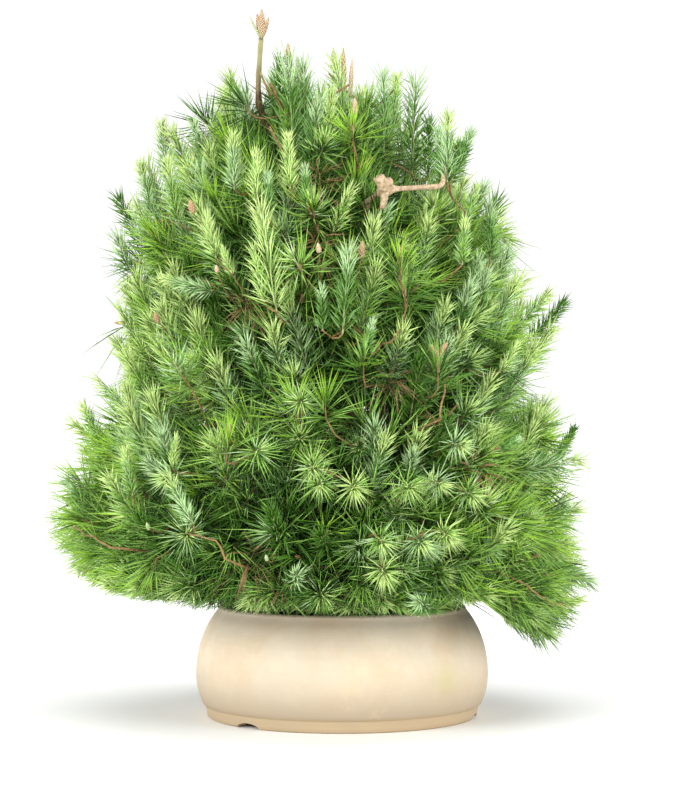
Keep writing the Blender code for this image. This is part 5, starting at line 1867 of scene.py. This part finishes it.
class BONSAI_OT_soil(bpy.types.Operator):
    """Fill the pot with soil and loose grains"""

    bl_idname = "bonsai.soil"
    bl_label = "Soil"

    def execute(self, context):
        make_soil(context.scene.bonsai_soil)
        return {"FINISHED"}


class BONSAI_OT_limbs(bpy.types.Operator):
    """Grow the trunk and the boughs with their bark"""

    bl_idname = "bonsai.limbs"
    bl_label = "Trunk and boughs"

    def execute(self, context):
        make_limbs(context.scene.bonsai_bark)
        return {"FINISHED"}


class BONSAI_OT_twigs(bpy.types.Operator):
    """Grow the twigs on from the boughs"""

    bl_idname = "bonsai.twigs"
    bl_label = "Twigs"

    def execute(self, context):
        make_twigs(context.scene.bonsai_bark)
        return {"FINISHED"}


class BONSAI_OT_needles(bpy.types.Operator):
    """Grow the sprays of needles on the twigs"""

    bl_idname = "bonsai.needles"
    bl_label = "Needles"

    def execute(self, context):
        make_needles(context.scene.bonsai_needles)
        return {"FINISHED"}


class BONSAI_OT_buds(bpy.types.Operator):
    """Set the candles and the resting buds"""

    bl_idname = "bonsai.buds"
    bl_label = "Buds"

    def execute(self, context):
        make_buds(context.scene.bonsai_buds)
        return {"FINISHED"}


SETTINGS = {
    "bonsai_stage": StageSettings,
    "bonsai_pot": PotSettings,
    "bonsai_soil": SoilSettings,
    "bonsai_bark": BarkSettings,
    "bonsai_needles": NeedleSettings,
    "bonsai_buds": BudSettings,
}
OPERATORS = (
    BONSAI_OT_stage,
    BONSAI_OT_pot,
    BONSAI_OT_soil,
    BONSAI_OT_limbs,
    BONSAI_OT_twigs,
    BONSAI_OT_needles,
    BONSAI_OT_buds,
)


class BONSAI_PT_panel(bpy.types.Panel):
    """The bonsai's settings and buttons"""

    bl_idname = "BONSAI_PT_panel"
    bl_label = "Aleppo Pine Bonsai"
    bl_space_type = "VIEW_3D"
    bl_region_type = "UI"
    bl_category = "Bonsai"

    def draw(self, context):
        for operator in OPERATORS:
            self.layout.operator(operator.bl_idname)
        for name, group in SETTINGS.items():
            box = self.layout.box()
            box.label(text=group.__doc__)
            for setting in group.__annotations__:
                box.prop(getattr(context.scene, name), setting)


CLASSES = (*SETTINGS.values(), *OPERATORS, BONSAI_PT_panel)


def register():
    """Adds the settings, the buttons and the panel."""
    for cls in CLASSES:
        bpy.utils.register_class(cls)
    for name, group in SETTINGS.items():
        setattr(bpy.types.Scene, name, PointerProperty(type=group))


def unregister():
    """Takes them away again."""
    for name in SETTINGS:
        delattr(bpy.types.Scene, name)
    for cls in reversed(CLASSES):
        bpy.utils.unregister_class(cls)


def main():
    """Builds every piece."""
    register()
    bpy.ops.bonsai.stage()
    bpy.ops.bonsai.pot()
    bpy.ops.bonsai.soil()
    bpy.ops.bonsai.limbs()
    bpy.ops.bonsai.twigs()
    bpy.ops.bonsai.needles()
    bpy.ops.bonsai.buds()
    bpy.context.view_layer.update()


if __name__ == "__main__":
    main()
